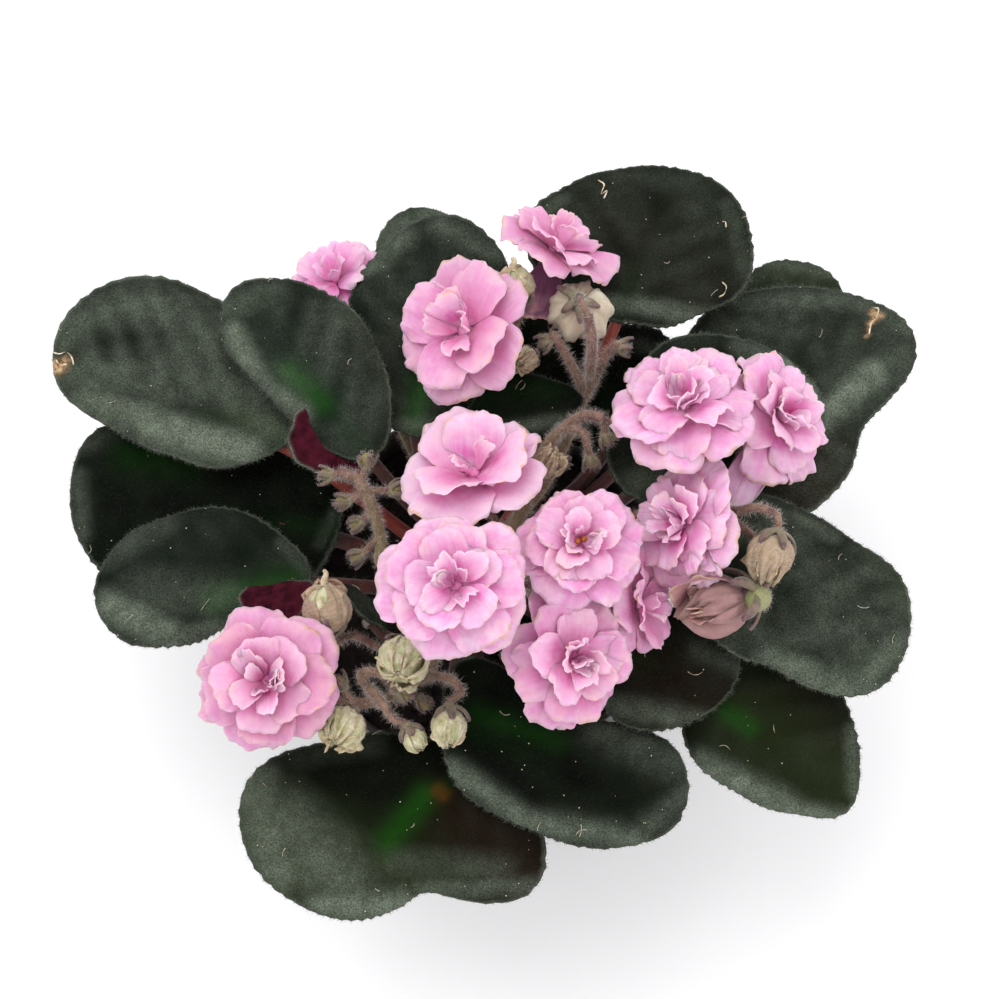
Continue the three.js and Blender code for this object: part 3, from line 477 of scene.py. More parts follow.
def thick_sheet(top, normal, thickness, chart, marks, under_marks, bead=0.0, finish=0):
    """A leaf or petal: its upper face as a grid of points, its under face a thickness below, and its edge.
    With a bead, the grid runs right round a middle, and its outer edge is rounded by that much."""
    rows, columns = top.shape[:2]
    count = rows * columns
    under = top - normal * np.asarray(thickness)[..., None]
    quads = grid_quads(rows, columns, bool(bead))
    flat = chart.reshape(-1, 2)
    left, right = flat * [0.48, 1], flat * [-0.48, 1] + [1, 0]
    points = [top.reshape(-1, 3), under.reshape(-1, 3)]
    groups = [(quads, left[quads], finish), (quads[:, ::-1] + count, right[quads[:, ::-1]], finish)]
    index = np.arange(count).reshape(rows, columns)
    if bead:
        loop, ring, middle = index[-1], index[0], np.full(columns, 2 * count)
        after, inner = np.roll(loop, -1), np.roll(ring, -1)
        spots = np.stack([np.broadcast_to(flat[ring].mean(0), (columns, 2)), flat[ring], flat[inner]], 1)
        groups.append((np.stack([middle, ring, inner], 1), spots * [0.48, 1], finish))
        fan = np.stack([middle + 1, inner + count, ring + count], 1)
        groups.append((fan, spots[:, [0, 2, 1]] * [-0.48, 1] + [1, 0], finish))
        points += [top[:1].mean(1), under[:1].mean(1)]
        points.append((top[-1] + under[-1]) / 2 + unit(top[-1] - top[-2]) * bead)
        rim = 2 * count + 2 + np.arange(columns)
        turn = np.roll(rim, -1)
        strips = [[loop, rim, turn, after], [rim, loop + count, after + count, turn]]
    else:
        loop = np.concatenate([index[:-1, 0], index[-1, :-1], index[:0:-1, -1], index[0, :0:-1]])
        after = np.roll(loop, -1)
        strips = [[loop, loop + count, after + count, after]]
    edge = np.stack([left[loop], left[loop] * 0.999, left[after] * 0.999, left[after]], 1)
    groups += [(np.stack(strip, 1), edge, finish) for strip in strips]
    painted = {}
    for name in {**marks, **under_marks}:
        sides = [m.get(name, 0.0) for m in (marks, under_marks)]
        above, below = (np.broadcast_to(side, (rows, columns)).ravel() for side in sides)
        values = [above, below]
        if bead:
            values += [above[ring].mean()[None], below[ring].mean()[None], (above[loop] + below[loop]) / 2]
        painted[name] = np.concatenate(values)
    return {"points": np.vstack(points), "groups": groups, "marks": painted}


def ringed(body, ends, marks=None, finish=0, inward=False):
    """A round body from rings of points, closed by a fan to a point at each end. Marks go ring by ring, and
    with inward the fans face the inside."""
    rings, sides = body.shape[:2]
    quads = grid_quads(rings, sides, True)[:, ::-1]
    ring, column = np.divmod(quads, sides)
    seam = (column.max(1) - column.min(1) > 1)[:, None] & (column == 0)
    run = run_along(body[:, 0])
    chart = np.stack([(column + np.where(seam, sides, 0)) / sides, run[ring] / run[-1] * 0.8], -1)
    groups = [(quads, chart, finish)]
    i = np.arange(sides)
    j = (i + 1) % sides
    circle = compass(i * 360 / sides)[:, :2] * 0.09
    for end, (a, b) in enumerate([(i, j), (j, i)] if inward else [(j, i), (i, j)]):
        start = end * (rings - 1) * sides
        fan = np.stack([np.full(sides, rings * sides + end), a + start, b + start], 1)
        spots = np.stack([np.zeros((sides, 2)), circle[a], circle[b]], 1) + [0.1 + 0.2 * end, 0.91]
        groups.append((fan, spots, finish))
    painted = {}
    for name, values in (marks or {}).items():
        values = np.broadcast_to(np.asarray(values, float), rings)
        painted[name] = np.concatenate([np.repeat(values, sides), values[:1], values[-1:]])
    return {"points": np.vstack([body.reshape(-1, 3), ends]), "groups": groups, "marks": painted}


def tube(path, radii, sides, marks=None, finish=0):
    """A round stem along a path, closed at both ends."""
    path = np.asarray(path, float)
    radii = np.broadcast_to(np.asarray(radii, float), len(path))
    along = unit(np.gradient(path, axis=0))
    across = np.zeros_like(path)
    first = np.cross(along[0], [0, 0, 1])
    across[0] = unit(first if np.linalg.norm(first) > 0.1 else np.cross(along[0], [0, 1, 0]))
    for i in range(1, len(path)):
        across[i] = unit(across[i - 1] - along[i] * (across[i - 1] @ along[i]))
    angle = np.linspace(0, 2 * np.pi, sides, endpoint=False)[:, None]
    ring = across[:, None] * np.cos(angle) + np.cross(along, across)[:, None] * np.sin(angle)
    return ringed(path[:, None] + ring * radii[:, None, None], path[[0, -1]], marks, finish, inward=True)


def lathe(profile, sides):
    """A turned body from [radius, height] pairs, which run up the outside and back down the inside."""
    profile = np.asarray(profile, float)
    angle = np.linspace(0, 2 * np.pi, sides, endpoint=False)
    radii, heights = profile[1:-1, :1], profile[1:-1, 1:]
    body = np.stack([radii * np.cos(angle), radii * np.sin(angle), heights + 0 * angle], -1)
    return ringed(body, [[0, 0, profile[0, 1]], [0, 0, profile[-1, 1]]])


def ball(radius, rows, columns, squash=1.0, finish=0, marks=None):
    """A round body for anthers, crumbs, specks and small buds."""
    polar = np.linspace(0.12, np.pi - 0.12, rows)
    path = np.stack([np.zeros(rows), np.zeros(rows), -np.cos(polar) * radius * squash], 1)
    return tube(path, np.sin(polar) * radius, columns, marks, finish)


def hairs(roots, ways, lengths, width, droop=0.0, steps=1):
    """Fine three-sided spikes. They start a little inside the skin and droop as they go."""
    ways, count = unit(ways), len(roots)
    lengths = np.broadcast_to(lengths, count)[:, None]
    side = unit(np.cross(ways, np.where(np.abs(ways[:, 2:]) < 0.9, [[0.0, 0.0, 1.0]], [[1.0, 0.0, 0.0]])))
    angle = np.linspace(0, 2 * np.pi, 3, endpoint=False)[:, None]
    ring = side[:, None] * np.cos(angle) + np.cross(ways, side)[:, None] * np.sin(angle)
    shares = np.arange(steps) / steps
    parts = []
    for share in shares:
        middle = roots + ways * lengths * (share - 0.06) - [0, 0, 1] * (droop * lengths * share**2)
        parts.append(middle[:, None] + 0.5 * width * (1 - 0.75 * share) * ring)
    tip = roots + ways * lengths - [0, 0, 1] * (droop * lengths)
    points = np.concatenate(parts + [tip[:, None]], 1)
    each = 3 * steps + 1
    base = (np.arange(count) * each)[:, None]
    groups = []
    for k in range(steps):
        for i in range(3):
            a, b = 3 * k + i, 3 * k + (i + 1) % 3
            face, spots = [a, b, b + 3, a + 3], [[i, k], [i + 1, k], [i + 1, k + 1], [i, k + 1]]
            if k == steps - 1:
                face, spots = [a, b, each - 1], [[i, k], [i + 1, k], [i + 0.5, k + 1]]
            chart = np.broadcast_to(np.array(spots) / [3, steps], (count, len(face), 2))
            groups.append((base + face, chart, 0))
    tips = np.tile(np.concatenate([np.repeat(shares, 3), [1.0]]), count)
    return {"points": points.reshape(-1, 3), "groups": groups, "marks": {"tip": tips}}


def scattered(shape, count, random, weight=None, groups=1):
    """Random places on a shape's first groups of faces: points, the skin's normals, nearby corners."""
    triangles = []
    for faces, _, _ in shape["groups"][:groups]:
        triangles += [faces[:, :3], faces[:, [0, 2, 3]]] if faces.shape[1] == 4 else [faces]
    triangles = np.vstack(triangles)
    a, b, c = (shape["points"][triangles[:, k]] for k in range(3))
    normal = np.cross(b - a, c - a)
    size = np.linalg.norm(normal, axis=1)
    if weight is not None:
        size = size * weight[triangles].mean(1)
    chosen = random.choice(len(triangles), count, p=size / size.sum())
    r, s = np.sqrt(random.random(count))[:, None], random.random(count)[:, None]
    places = a[chosen] * (1 - r) + b[chosen] * r * (1 - s) + c[chosen] * r * s
    return places, unit(normal[chosen]), triangles[chosen, 0]


def put_in(name, data):
    made = bpy.data.objects.new(name, data)
    bpy.context.scene.collection.objects.link(made)
    return made


def fill(items, key, values, kind=np.float32):
    items.foreach_set(key, np.concatenate([np.ravel(v) for v in values]).astype(kind))


def piece(name, shape, finishes, replaces=()):
    """A shape as a finished piece that rides on the plant."""
    faces, charts, numbers = zip(*shape["groups"])
    sizes = np.concatenate([np.full(len(f), f.shape[1]) for f in faces])
    mesh = bpy.data.meshes.new(name)
    mesh.vertices.add(len(shape["points"]))
    mesh.loops.add(sizes.sum())
    mesh.polygons.add(len(sizes))
    fill(mesh.vertices, "co", [shape["points"] * MM])
    fill(mesh.loops, "vertex_index", faces, np.int32)
    fill(mesh.polygons, "loop_start", [np.cumsum(sizes) - sizes], np.int32)
    fill(mesh.polygons, "material_index", [np.full(len(f), n) for f, n in zip(faces, numbers)], np.int32)
    fill(mesh.polygons, "use_smooth", [np.full(len(sizes), True)], bool)
    fill(mesh.uv_layers.new(name="OFBake").data, "uv", charts)
    for mark, values in shape["marks"].items():
        fill(mesh.attributes.new(mark, "FLOAT", "POINT").data, "value", [values])
    mesh.update(calc_edges=True)
    for finish in finishes:
        mesh.materials.append(finish)
    made = put_in(name, mesh)
    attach(made, "root")
    if replaces:
        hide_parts(*replaces)
    return made


# ---------------------------------------------------------------- finishes


def linear(hex_text):
    """An sRGB hex colour as the linear values that a shader takes."""
    values = [int(hex_text[i : i + 2], 16) / 255 for i in (1, 3, 5)]
    return (*[v / 12.92 if v <= 0.04045 else ((v + 0.055) / 1.055) ** 2.4 for v in values], 1.0)


def add(tree, kind, settings=None, out=0, **sockets):
    """Adds a node and gives one of its outputs. Settings are its own properties, and each socket gets a
    value or a link. A socket is named, or n and its number."""
    made = tree.nodes.new("ShaderNode" + kind)
    for key, value in (settings or {}).items():
        setattr(made, key, value)
    for key, value in sockets.items():
        socket = made.inputs[int(key[1:]) if key[1:].isdigit() else key]
        if isinstance(value, bpy.types.NodeSocket):
            tree.links.new(value, socket)
        else:
            socket.default_value = value
    return made.outputs[out]


TIMES = {"operation": "MULTIPLY"}
SHARE_TIMES = {"operation": "MULTIPLY", "use_clamp": True}
SPECKS = (0.35, 0.65)  # the part of the noise that reads as specks
PLAIN_DETAIL = 2


def showing(tree, what):
    """How much of a coat shows: a mark painted on the points, as (name, strength), or irregular grain, as
    (size in millimetres, least, most, detail), or a link to either."""
    if isinstance(what, bpy.types.NodeSocket):
        return what
    if isinstance(what[0], str):
        mark = add(tree, "Attribute", {"attribute_name": what[0]}, "Fac")
        return add(tree, "Math", SHARE_TIMES, n0=mark, n1=what[1])
    size, least, most, detail = (*what, PLAIN_DETAIL)[:4]
    place = tree.nodes["Texture Coordinate"].outputs["Object"]
    noise = add(tree, "TexNoise", {}, "Fac", Vector=place, Scale=1 / (size * MM), Detail=detail)
    return add(tree, "MapRange", n0=noise, n1=SPECKS[0], n2=SPECKS[1], n3=least, n4=most)


def coats(tree, colour, *over):
    """A ground colour with coats laid over it, each as (how much of it shows, its colour)."""
    for what, coat in over:
        below, above = (linear(c) if isinstance(c, str) else c for c in (colour, coat))
        colour = add(tree, "Mix", {"data_type": "RGBA"}, 2, n0=showing(tree, what), n6=below, n7=above)
    return colour


def bare(name, roughness, **constants):
    """A new material before its colour, and its node tree."""
    material = bpy.data.materials.new(name)
    material.use_nodes = True
    tree = material.node_tree
    add(tree, "TexCoord")
    for key, value in {"Roughness": roughness, **constants}.items():
        tree.nodes["Principled BSDF"].inputs[key.replace("_", " ")].default_value = value
    return material, tree


def dressed(material, tree, colour, height=None, depth=0.0):
    """The material with its colour, and a relief with a share as above for its height and a real depth."""
    shader = tree.nodes["Principled BSDF"]
    tree.links.new(colour, shader.inputs["Base Color"])
    if height:
        bump = add(tree, "Bump", Height=showing(tree, height), Distance=depth * MM, Strength=1.0)
        tree.links.new(bump, shader.inputs["Normal"])
    return material


def plain_finish(name, roughness, layers, height=None, depth=0.0, **constants):
    material, tree = bare(name, roughness, **constants)
    return dressed(material, tree, coats(tree, *layers), height, depth)


def velvet_leaf():
    """Leaf of an African violet, grown with a nap of short hairs: very matt, almost black-green from above.
    Where the nap would be seen from the side and catch the light, a pale grey-green is painted on as sheen.
    Underside maroon."""
    sheen = {"Sheen_Weight": 0.02, "Sheen_Roughness": 0.4, "Sheen_Tint": linear("#b9c2b8")}
    material, tree = bare("velvet_leaf", 0.85, Specular_IOR_Level=0.04, **sheen)
    # where the painted sheen of the nap shows, in soft patches
    sheen_patches = add(tree, "Math", TIMES, n0=showing(tree, ("pale", 1)), n1=showing(tree, (4, 0.75, 1.2, 3)))
    # the nap's own grain is 0.1 mm, drawn at 0.4 mm so that it shows
    nap = showing(tree, (0.4, 0.5, 1.35))
    colour = coats(
        tree,
        "#070a06",
        ((9, 0, 1), "#0f140c"),
        (("teal", 0.6), "#0c1f19"),
        (("brown", 0.9), "#1c0d07"),
        (("olive", 0.8), "#222a10"),
        (("green", 0.8), "#174a0c"),
        (("rust", 0.9), "#7a3517"),
        # painted sheen of the nap: grey-green where the pale mark is, broken up by fine grain
        (add(tree, "Math", SHARE_TIMES, n0=sheen_patches, n1=nap), "#747e6e"),
        (("under", 1), coats(tree, "#2b0a13", ((3, 0, 1), "#451422"))),
        (("dry", 1), coats(tree, "#8a5a34", ((1.2, 0, 1), "#d9b891"))),
    )
    return dressed(material, tree, colour, nap, 0.08)


def petal_skin(name, deep, body, rim, back, peach, edge, dusky, dryness):
    """Petal: thin living tissue with a satin bloom, deepest at its foot, where the deep rose is also painted
    shade for the crevices between the petals, paler at its rim, partly as a painted highlight on its thin
    edge, and in fine streaks that run out to it, its very edge dried to cream or tan in places. Light passes a
    little way through it, and older blooms turn duskier."""
    light = {"Subsurface_Weight": 0.5, "Subsurface_Scale": 0.002, "Subsurface_Radius": (1.0, 0.5, 0.7)}
    material, tree = bare(name, 0.55, Sheen_Weight=0.06, Specular_IOR_Level=0.25, **light)
    out = showing(tree, ("out", 1))
    # about 30 streaks across each petal, 0.4 mm wide at its rim, and other ones on the next petal
    across, each = (add(tree, "Attribute", {"attribute_name": mark}, "Fac") for mark in ("across", "each"))
    wide, apart = add(tree, "Math", TIMES, n0=across, n1=15.0), add(tree, "Math", TIMES, n0=each, n1=90.0)
    way = add(tree, "CombineXYZ", X=wide, Y=out, Z=apart)
    streaks = add(tree, "TexNoise", {}, "Fac", Vector=way, Scale=1.0, Detail=3.0)
    streaks = add(tree, "MapRange", n0=streaks, n1=0.38, n2=0.68, n3=0.0, n4=1.0)
    # from foot to rim: the deep rose at the foot is partly the petal's own colour and partly painted shade
    # where the petals overlap
    colour = add(tree, "ValToRGB", Fac=out)
    stops = colour.node.color_ramp.elements
    stops.new(0.92)
    for stop, place, shade in zip(stops, (0.24, 0.56, 0.92), (deep, body, rim)):
        stop.position, stop.color = place, linear(shade)
    # the outer third warms in patches before its edge dries
    outer = add(tree, "MapRange", n0=out, n1=0.6, n2=1.0, n3=0.0, n4=0.5)
    warm = add(tree, "Math", SHARE_TIMES, n0=outer, n1=showing(tree, (5, -0.5, 0.9)))
    tattered = showing(tree, (3.2, -1.1, dryness))
    dry = add(tree, "Math", SHARE_TIMES, n0=showing(tree, ("edge", 1)), n1=tattered)
    colour = coats(
        tree,
        colour,
        ((4.5, 0, 0.6), back),
        ((2.2, 0, 0.4), body),
        (add(tree, "Math", TIMES, n0=streaks, n1=0.22), back),
        (("under", 0.5), back),
        (("dusky", 1), dusky),
        (("faded", 0.85), "#553049"),
        (("young", 0.7), back),
        # painted highlight: the outer tenth of each petal paler, as its thin edge catching the light
        (("rim", 0.3), back),
        (warm, peach),
        (dry, edge),
    )
    height = add(tree, "Math", {"operation": "ADD"}, n0=streaks, n1=showing(tree, (0.4, 0, 0.7)))
    return dressed(material, tree, colour, height, 0.07)


def soft_hair(name, root, tip, shade=None):
    """Plant hair: thin and pale, so that it glows round a stem or leaf rim. Given a shade, its colour goes to
    that painted shade where its pale mark is low.
    """
    material, tree = bare(name, 0.55, Specular_IOR_Level=0.2)
    colour = coats(tree, root, (("tip", 1), tip), ((2, 0, 0.3), root))
    return dressed(material, tree, coats(tree, shade, (("pale", 1.3), colour)) if shade else colour)


def moulded_pot():
    """Nursery pot of polypropylene, injection moulded in a brown so dark that it is nearly black, so that
    where it shows between the leaves it stands as painted shade: even and satin, with a fine grain."""
    material, tree = bare("moulded_pot", 0.48, IOR=1.49)
    tree.links.new(showing(tree, (14, 0.42, 0.56, 4)), tree.nodes["Principled BSDF"].inputs["Roughness"])
    colour = coats(tree, "#2a2522", ((22, 0, 1, 3), "#342e2a"), ((0.9, 0, 0.25), "#1f1b19"))
    return dressed(material, tree, colour, (0.35, 0, 1), 0.03)


LEAF = velvet_leaf()
# nap hair: the last colour is painted shade, for the hairs on the shaded parts of leaves
NAP = soft_hair("leaf_nap", "#4a5147", "#a9b2a4", "#0a0d09")
RIM_HAIR = soft_hair("leaf_rim_hair", "#3a4238", "#9ca397")
STALK_HAIR = soft_hair("stalk_hair", "#c4b0a6", "#f6efe9")
# name, the shades from a petal's foot, where the deep rose is partly painted shade, to its rim, of its back,
# of its warm rim and of its dry rim, its dusky shade, and how much of its rim is dry
PETAL_SHADES = {
    "pink": ("pink_petal", "#bd3584", "#e471b6", "#ef9dce", "#f7cfe6", "#f4bfb9", "#e0a996", "#cf7fa2", 1.9),
    "mauve": ("mauve_petal", "#35181c", "#6c4247", "#93666a", "#b18a86", "#b08a74", "#b59f86", "#62393d", 1.8),
    "tan": ("wilted_petal", "#7d4c42", "#b98676", "#d3ae98", "#efe3c8", "#efdcb8", "#8d6242", "#b88272", 2.4),
}
PETALS = {colour: petal_skin(*shades) for colour, shades in PETAL_SHADES.items()}

# Leaf stalk, a juicy stem grown under the blade: deep red-brown skin, a little greener near the blade.
skin = ["#330b0d", ((3, 0, 1), "#521a17"), (("blade_end", 0.35), "#4a3a20"), (("ruddy", 0.9), "#8c3426")]
soft = {"Sheen_Weight": 0.2, "Sheen_Roughness": 0.4}
LEAF_STALK = plain_finish("leaf_stalk_skin", 0.6, skin, (0.6, 0, 1), 0.08, **soft)

# Anthers, waxy sacs dusted with pollen: golden, matt and speckled with brown.
ANTHER = plain_finish("anther_gold", 0.6, ["#cf8a34", ((0.6, 0, 1), "#7d3f1a")])

# Bud, tightly wrapped petals under a soft fuzz: cream going to green, their edges dried to tan.
skin = ["#b3b880", ((2.2, 0, 1), "#e6e1c0"), (("blush", 0.5), "#e3cbb2"), (("tan", 0.8), "#a27c6c")]
skin += [(("edge", 0.6), "#d3bd98"), ((1.1, 0, 0.45), "#75603f")]
soft = {"Subsurface_Weight": 0.15, "Subsurface_Scale": 0.001, "Sheen_Weight": 0.2}
BUD = plain_finish("bud_skin", 0.65, skin, (1.1, 0, 1), 0.3, **soft)

# Flower stalk, a slim juicy stem: brown-mauve over green, matt under its hairs.
skin = ["#63403a", ((2.5, 0, 1), "#8a6a5c"), (("greenish", 0.9), "#7f7444")]
soft = {"Sheen_Weight": 0.3, "Sheen_Roughness": 0.4}
STALK = plain_finish("flower_stalk_skin", 0.6, skin, (0.5, 0, 1), 0.08, **soft)

# Sepal, a narrow leaf of the cup under a bloom: mauve-brown outside, greener towards its foot.
skin = ["#4a2f35", ((1.5, 0, 1), "#755658"), (("greenish", 0.55), "#a3ad6c")]
SEPAL = plain_finish("sepal_skin", 0.65, skin, (0.6, 0, 1), 0.08, **soft)

# Crown, a short woody stem: corky brown and ringed with the scars of old leaves.
CROWN = plain_finish("crown_skin", 0.9, ["#3f3122", ((2.5, 0, 1), "#76623f")], (1.2, 0, 1, 4), 0.4)

# Peat potting mix, damp: dark brown fibre and crumbs, darkened further to near black as painted shade under
# the leaves, with white grains of perlite.
skin = ["#0d0906", ((3, 0, 1, 6), "#241911"), (("white", 1), "#d8d3c8")]
POTTING_MIX = plain_finish("potting_mix", 0.95, skin, (0.8, 0, 1, 6), 0.5)

# Dust, shed hairs and dry shreds of leaf, bleached plant fibre: pale tan, uneven and matt.
DRY_BIT = plain_finish("dry_bit", 0.8, ["#b29a70", ((1, 0, 1), "#e9e1cf")])

# Studio table top, matt white board: even, so that only the plant's shadow shows on it.
PALE_FLOOR = plain_finish("pale_floor", 0.9, ["#fbfbfb", ((60, 0, 1), "#fefefe")])

# ---------------------------------------------------------------- leaves

RUDDY = ("leaf_01", "leaf_05")  # leaves whose stalks are a brighter red
STOUT = ("leaf_03", "leaf_10", "leaf_11")  # and whose stalks are thicker than the rest
# name: (x, y in pixels of the photograph, height, half its length and half its width, heading, rise)
FOLDED_LOBES = {
    "leaf_02": (329, 446, 117, 11.5, 8, -53, -8),
    "leaf_12": (279, 601, 112.5, 9.3, 7.4, 8, 6),
}
LOBE_BANK = -20  # its inner side is tucked under the blade
# specks of dust on a square millimetre of the dustier leaves, and of the other ones
DUST = {
    "leaf_03": 0.012, "leaf_05": 0.01, "leaf_12": 0.012, "leaf_13": 0.016, "leaf_16": 0.02, "leaf_17": 0.014,
}
LIGHT_DUST = 0.006
# name, then x, y in pixels of the photograph and the turns that the shred takes from there
DRY_SHREDS = [
    ("leaf_05", 598, 180, (6, 6), (3, 14), (9, 12), (4, 22)),
    ("leaf_05", 722, 282, (4, 6), (2, 12), (-3, 16)),
    ("leaf_05", 722, 222, (3, 1), (4, 5)),
    ("leaf_07", 872, 308, (6, 2), (4, 10), (-1, 16), (-3, 26)),
    ("leaf_01", 52, 352, (8, 3), (14, 0), (20, 6), (22, 14)),
    ("leaf_01", 56, 360, (5, 6), (12, 4)),
]
SHRED_STEPS = 24

VEIN_SPACING = 9.5  # between side veins, along the midrib
QUILT = 0.55  # how far the blade swells between them
MIDRIB_DEPTH = 0.7
MIDRIB_WIDTH = 1.5
SCALLOP = 2.9  # from one scallop of the margin to the next
SCALLOP_DEPTH = 0.32
LUMP_HEIGHT = 0.22
MARGIN_DROP = 0.9
BLADE_THICKNESS = 0.95
BLADE_BEAD = 0.22
LOBE_THICKNESS = 0.7
LOBE_BEAD = 0.15
FULL_LEAF = 24  # from a leaf's middle to its tip, from which on its veins are fully deep
LEAF_CHART = 84  # the square of the chart that holds a blade
RIM_HAIRS = 3.2  # on each millimetre
LOBE_RIM_HAIRS = 5
RIM_HAIR_LENGTHS = (0.4, 1.1)
RIM_HAIR_WIDTH = 0.08
NAP_HAIRS = 2.6  # on each square millimetre
NAP_LENGTHS = (0.6, 1.3)
NAP_WIDTH = 0.075
STALK_HAIR_LENGTHS = (0.8, 1.8)
STALK_HAIR_WIDTH = 0.1
SPECK_RADII = (0.09, 0.2)
SHED_HAIR_RADIUS = 0.05
BLADES = {}


def leaf_axes(heading, rise, bank):
    """A blade's own ways along, across and up."""
    along = compass(heading) * math.cos(math.radians(rise)) + [0, 0, math.sin(math.radians(rise))]
    across = turned(compass(heading + 90), along, bank)
    return along, across, np.cross(along, across)


def laid_out(at, axes, u, v, height):
    along, across, up = axes
    return np.asarray(at, float) + u[..., None] * along + v[..., None] * across + height[..., None] * up


def margin_radius(radii, angle):
    radii = np.asarray(radii, float)
    turns = np.mod(angle * len(radii) / (2 * np.pi), len(radii))
    first = np.floor(turns).astype(int)
    return between(*(radii[(first + k) % len(radii)] for k in (-1, 0, 1, 2)), turns - first)


def blade_height(heading, dome, fold, wave, angle, share):
    """Height over the blade's own plane. At its base the blade stays level, where the stalk runs in under."""
    beside = np.sqrt(np.sin(angle) ** 2 + 0.01) * share
    waves = np.sin(4 * angle + heading) + 0.6 * np.sin(7 * angle + 2 * heading)
    level = BASE_LEVEL * np.exp(-((np.abs(np.pi - np.mod(angle, 2 * np.pi)) / BASE_WIDTH) ** 2))
    return fold * beside - dome * (1 - level) * share**2 + wave * share**3 * waves


def strokes_on(name, kind, u, v):
    """How strongly the strokes of a kind show at places on a leaf: full along each, fading to its sides."""
    at, tilts = LEAVES[name][:2]
    along, across, up = leaf_axes(*tilts)
    shown = np.zeros_like(u)
    for x1, y1, x2, y2, width, strength in LEAF_STROKES[name].get(kind, []):
        ends = [seen_on(x, y, at, up) - at for x, y in ((x1, y1), (x2, y2))]
        (u1, v1), (u2, v2) = ([end @ along, end @ across] for end in ends)
        length = max((u2 - u1) ** 2 + (v2 - v1) ** 2, 1e-6)
        share = np.clip(((u - u1) * (u2 - u1) + (v - v1) * (v2 - v1)) / length, 0, 1)
        away = np.hypot(u - u1 - share * (u2 - u1), v - v1 - share * (v2 - v1))
        shown = np.maximum(shown, strength * np.exp(-((away / width) ** 2)))
    return shown


def leaf_blade(name):
    """The blade as a fine sheet: veins pressed in, the flesh swollen between them, the margin scalloped and
    turned down a little. Its marks say where it is green, brown or dry, and how pale its nap is, partly with
    dust and partly with painted sheen and painted shade."""
    at, (heading, rise, bank), radii, (dome, fold, wave), _ = LEAVES[name]
    axes = leaf_axes(heading, rise, bank)
    number = int(name[-2:])
    scallops = max(12, round(float(np.mean(radii)) * 2 * np.pi / SCALLOP))
    sectors = 4 * scallops
    shares = np.concatenate([np.linspace(0.06, 0.82, 15), [0.88, 0.93, 0.965, 0.985, 1.0]])
    angle, share = np.meshgrid(np.linspace(0, 2 * np.pi, sectors, endpoint=False), shares)
    random = np.random.RandomState(40 + number)
    scale = random.uniform(0.0, 1.0, scallops)[np.arange(sectors) // 4]
    teeth = SCALLOP_DEPTH * scale * np.cos(scallops * angle) * ramp(share, 0.8, 0.2) ** 2
    reach = margin_radius(radii, angle) * share + teeth
    u, v = reach * np.cos(angle), reach * np.sin(angle)
    height = blade_height(heading, dome, fold, wave, angle, share) + strokes_on(name, "ridge", u, v)
    tip, base = radii[0], radii[6]
    size = min(1.0, tip / FULL_LEAF)
    side = np.abs(v)
    rows = (u - 0.55 * side - 0.012 * side**2) / VEIN_SPACING + 0.3 * number
    swell = 0.5 - 0.5 * np.cos(2 * np.pi * rows)
    fade = ramp(side, 0, 5) * ramp(1 - share, 0, 0.25)
    height = height + QUILT * size * swell**0.7 * fade
    rib = np.exp(-((v / MIDRIB_WIDTH) ** 2)) * ramp(tip * 0.92 - u, 0, tip) ** 0.5
    height = height - MIDRIB_DEPTH * size * rib
    lumps = np.zeros_like(u)
    for _ in range(5):
        way, length = random.uniform(0, 2 * np.pi), random.uniform(14, 26)
        lumps += waves_along(u, v, way, length, random.uniform(0, 2 * np.pi))
    height = height + LUMP_HEIGHT * size * lumps * share
    height = height - MARGIN_DROP * ramp(share, 0.86, 0.14) ** 2
    thickness = (BLADE_THICKNESS - 0.4 * ramp(share, 0.6, 0.4)) + 0.9 * rib * size
    # Painted sheen: the nap is paler on the swells and lumps and along the very margin, where its hairs would
    # catch the light. The pale strokes paint more sheen, and the dark strokes paint shade.
    pale = NAP_PALENESS_AND_LIGHT[name] * (0.72 + 0.45 * swell * fade + 0.16 * lumps) + 0.35 * ramp(share, 0.965, 0.035)
    pale = np.maximum(pale, strokes_on(name, "pale", u, v)) - strokes_on(name, "dark", u, v)
    marks = {"pale": pale.clip(0, 1)}
    for kind in ("green", "olive", "teal", "brown", "rust", "dry"):
        marks[kind] = strokes_on(name, kind, u, v)
    green_rib = 0.18 * np.exp(-((v / 2.5) ** 2)) * np.clip(-u / base + 0.1, 0, 1)
    marks["green"] = np.maximum(marks["green"], green_rib)
    chart = np.stack([0.5 + u / LEAF_CHART, 0.5 + v / LEAF_CHART], -1)
    top = laid_out(at, axes, u, v, height)
    return thick_sheet(top, axes[2], thickness, chart, marks, {"under": 1.0}, BLADE_BEAD), axes


def leaf_stalk_path(name):
    at, tilts, radii, bends, (root, height) = LEAVES[name]
    along, _, up = leaf_axes(*tilts)
    outward = compass(root)
    foot = outward * (CROWN_RADIUS + GAP + 0.1) + [0, 0, height]
    drop = blade_height(tilts[0], *bends, math.pi, LEAF_STALK_REACH)
    reach = radii[6] * LEAF_STALK_REACH
    joint = np.asarray(at, float) - along * reach + up * (drop - LEAF_STALK_RADIUS - 0.7)
    length = np.linalg.norm(joint - foot)
    return bezier(foot, foot + outward * 0.3 * length, joint - along * 0.4 * length - up * 2, joint, 26)


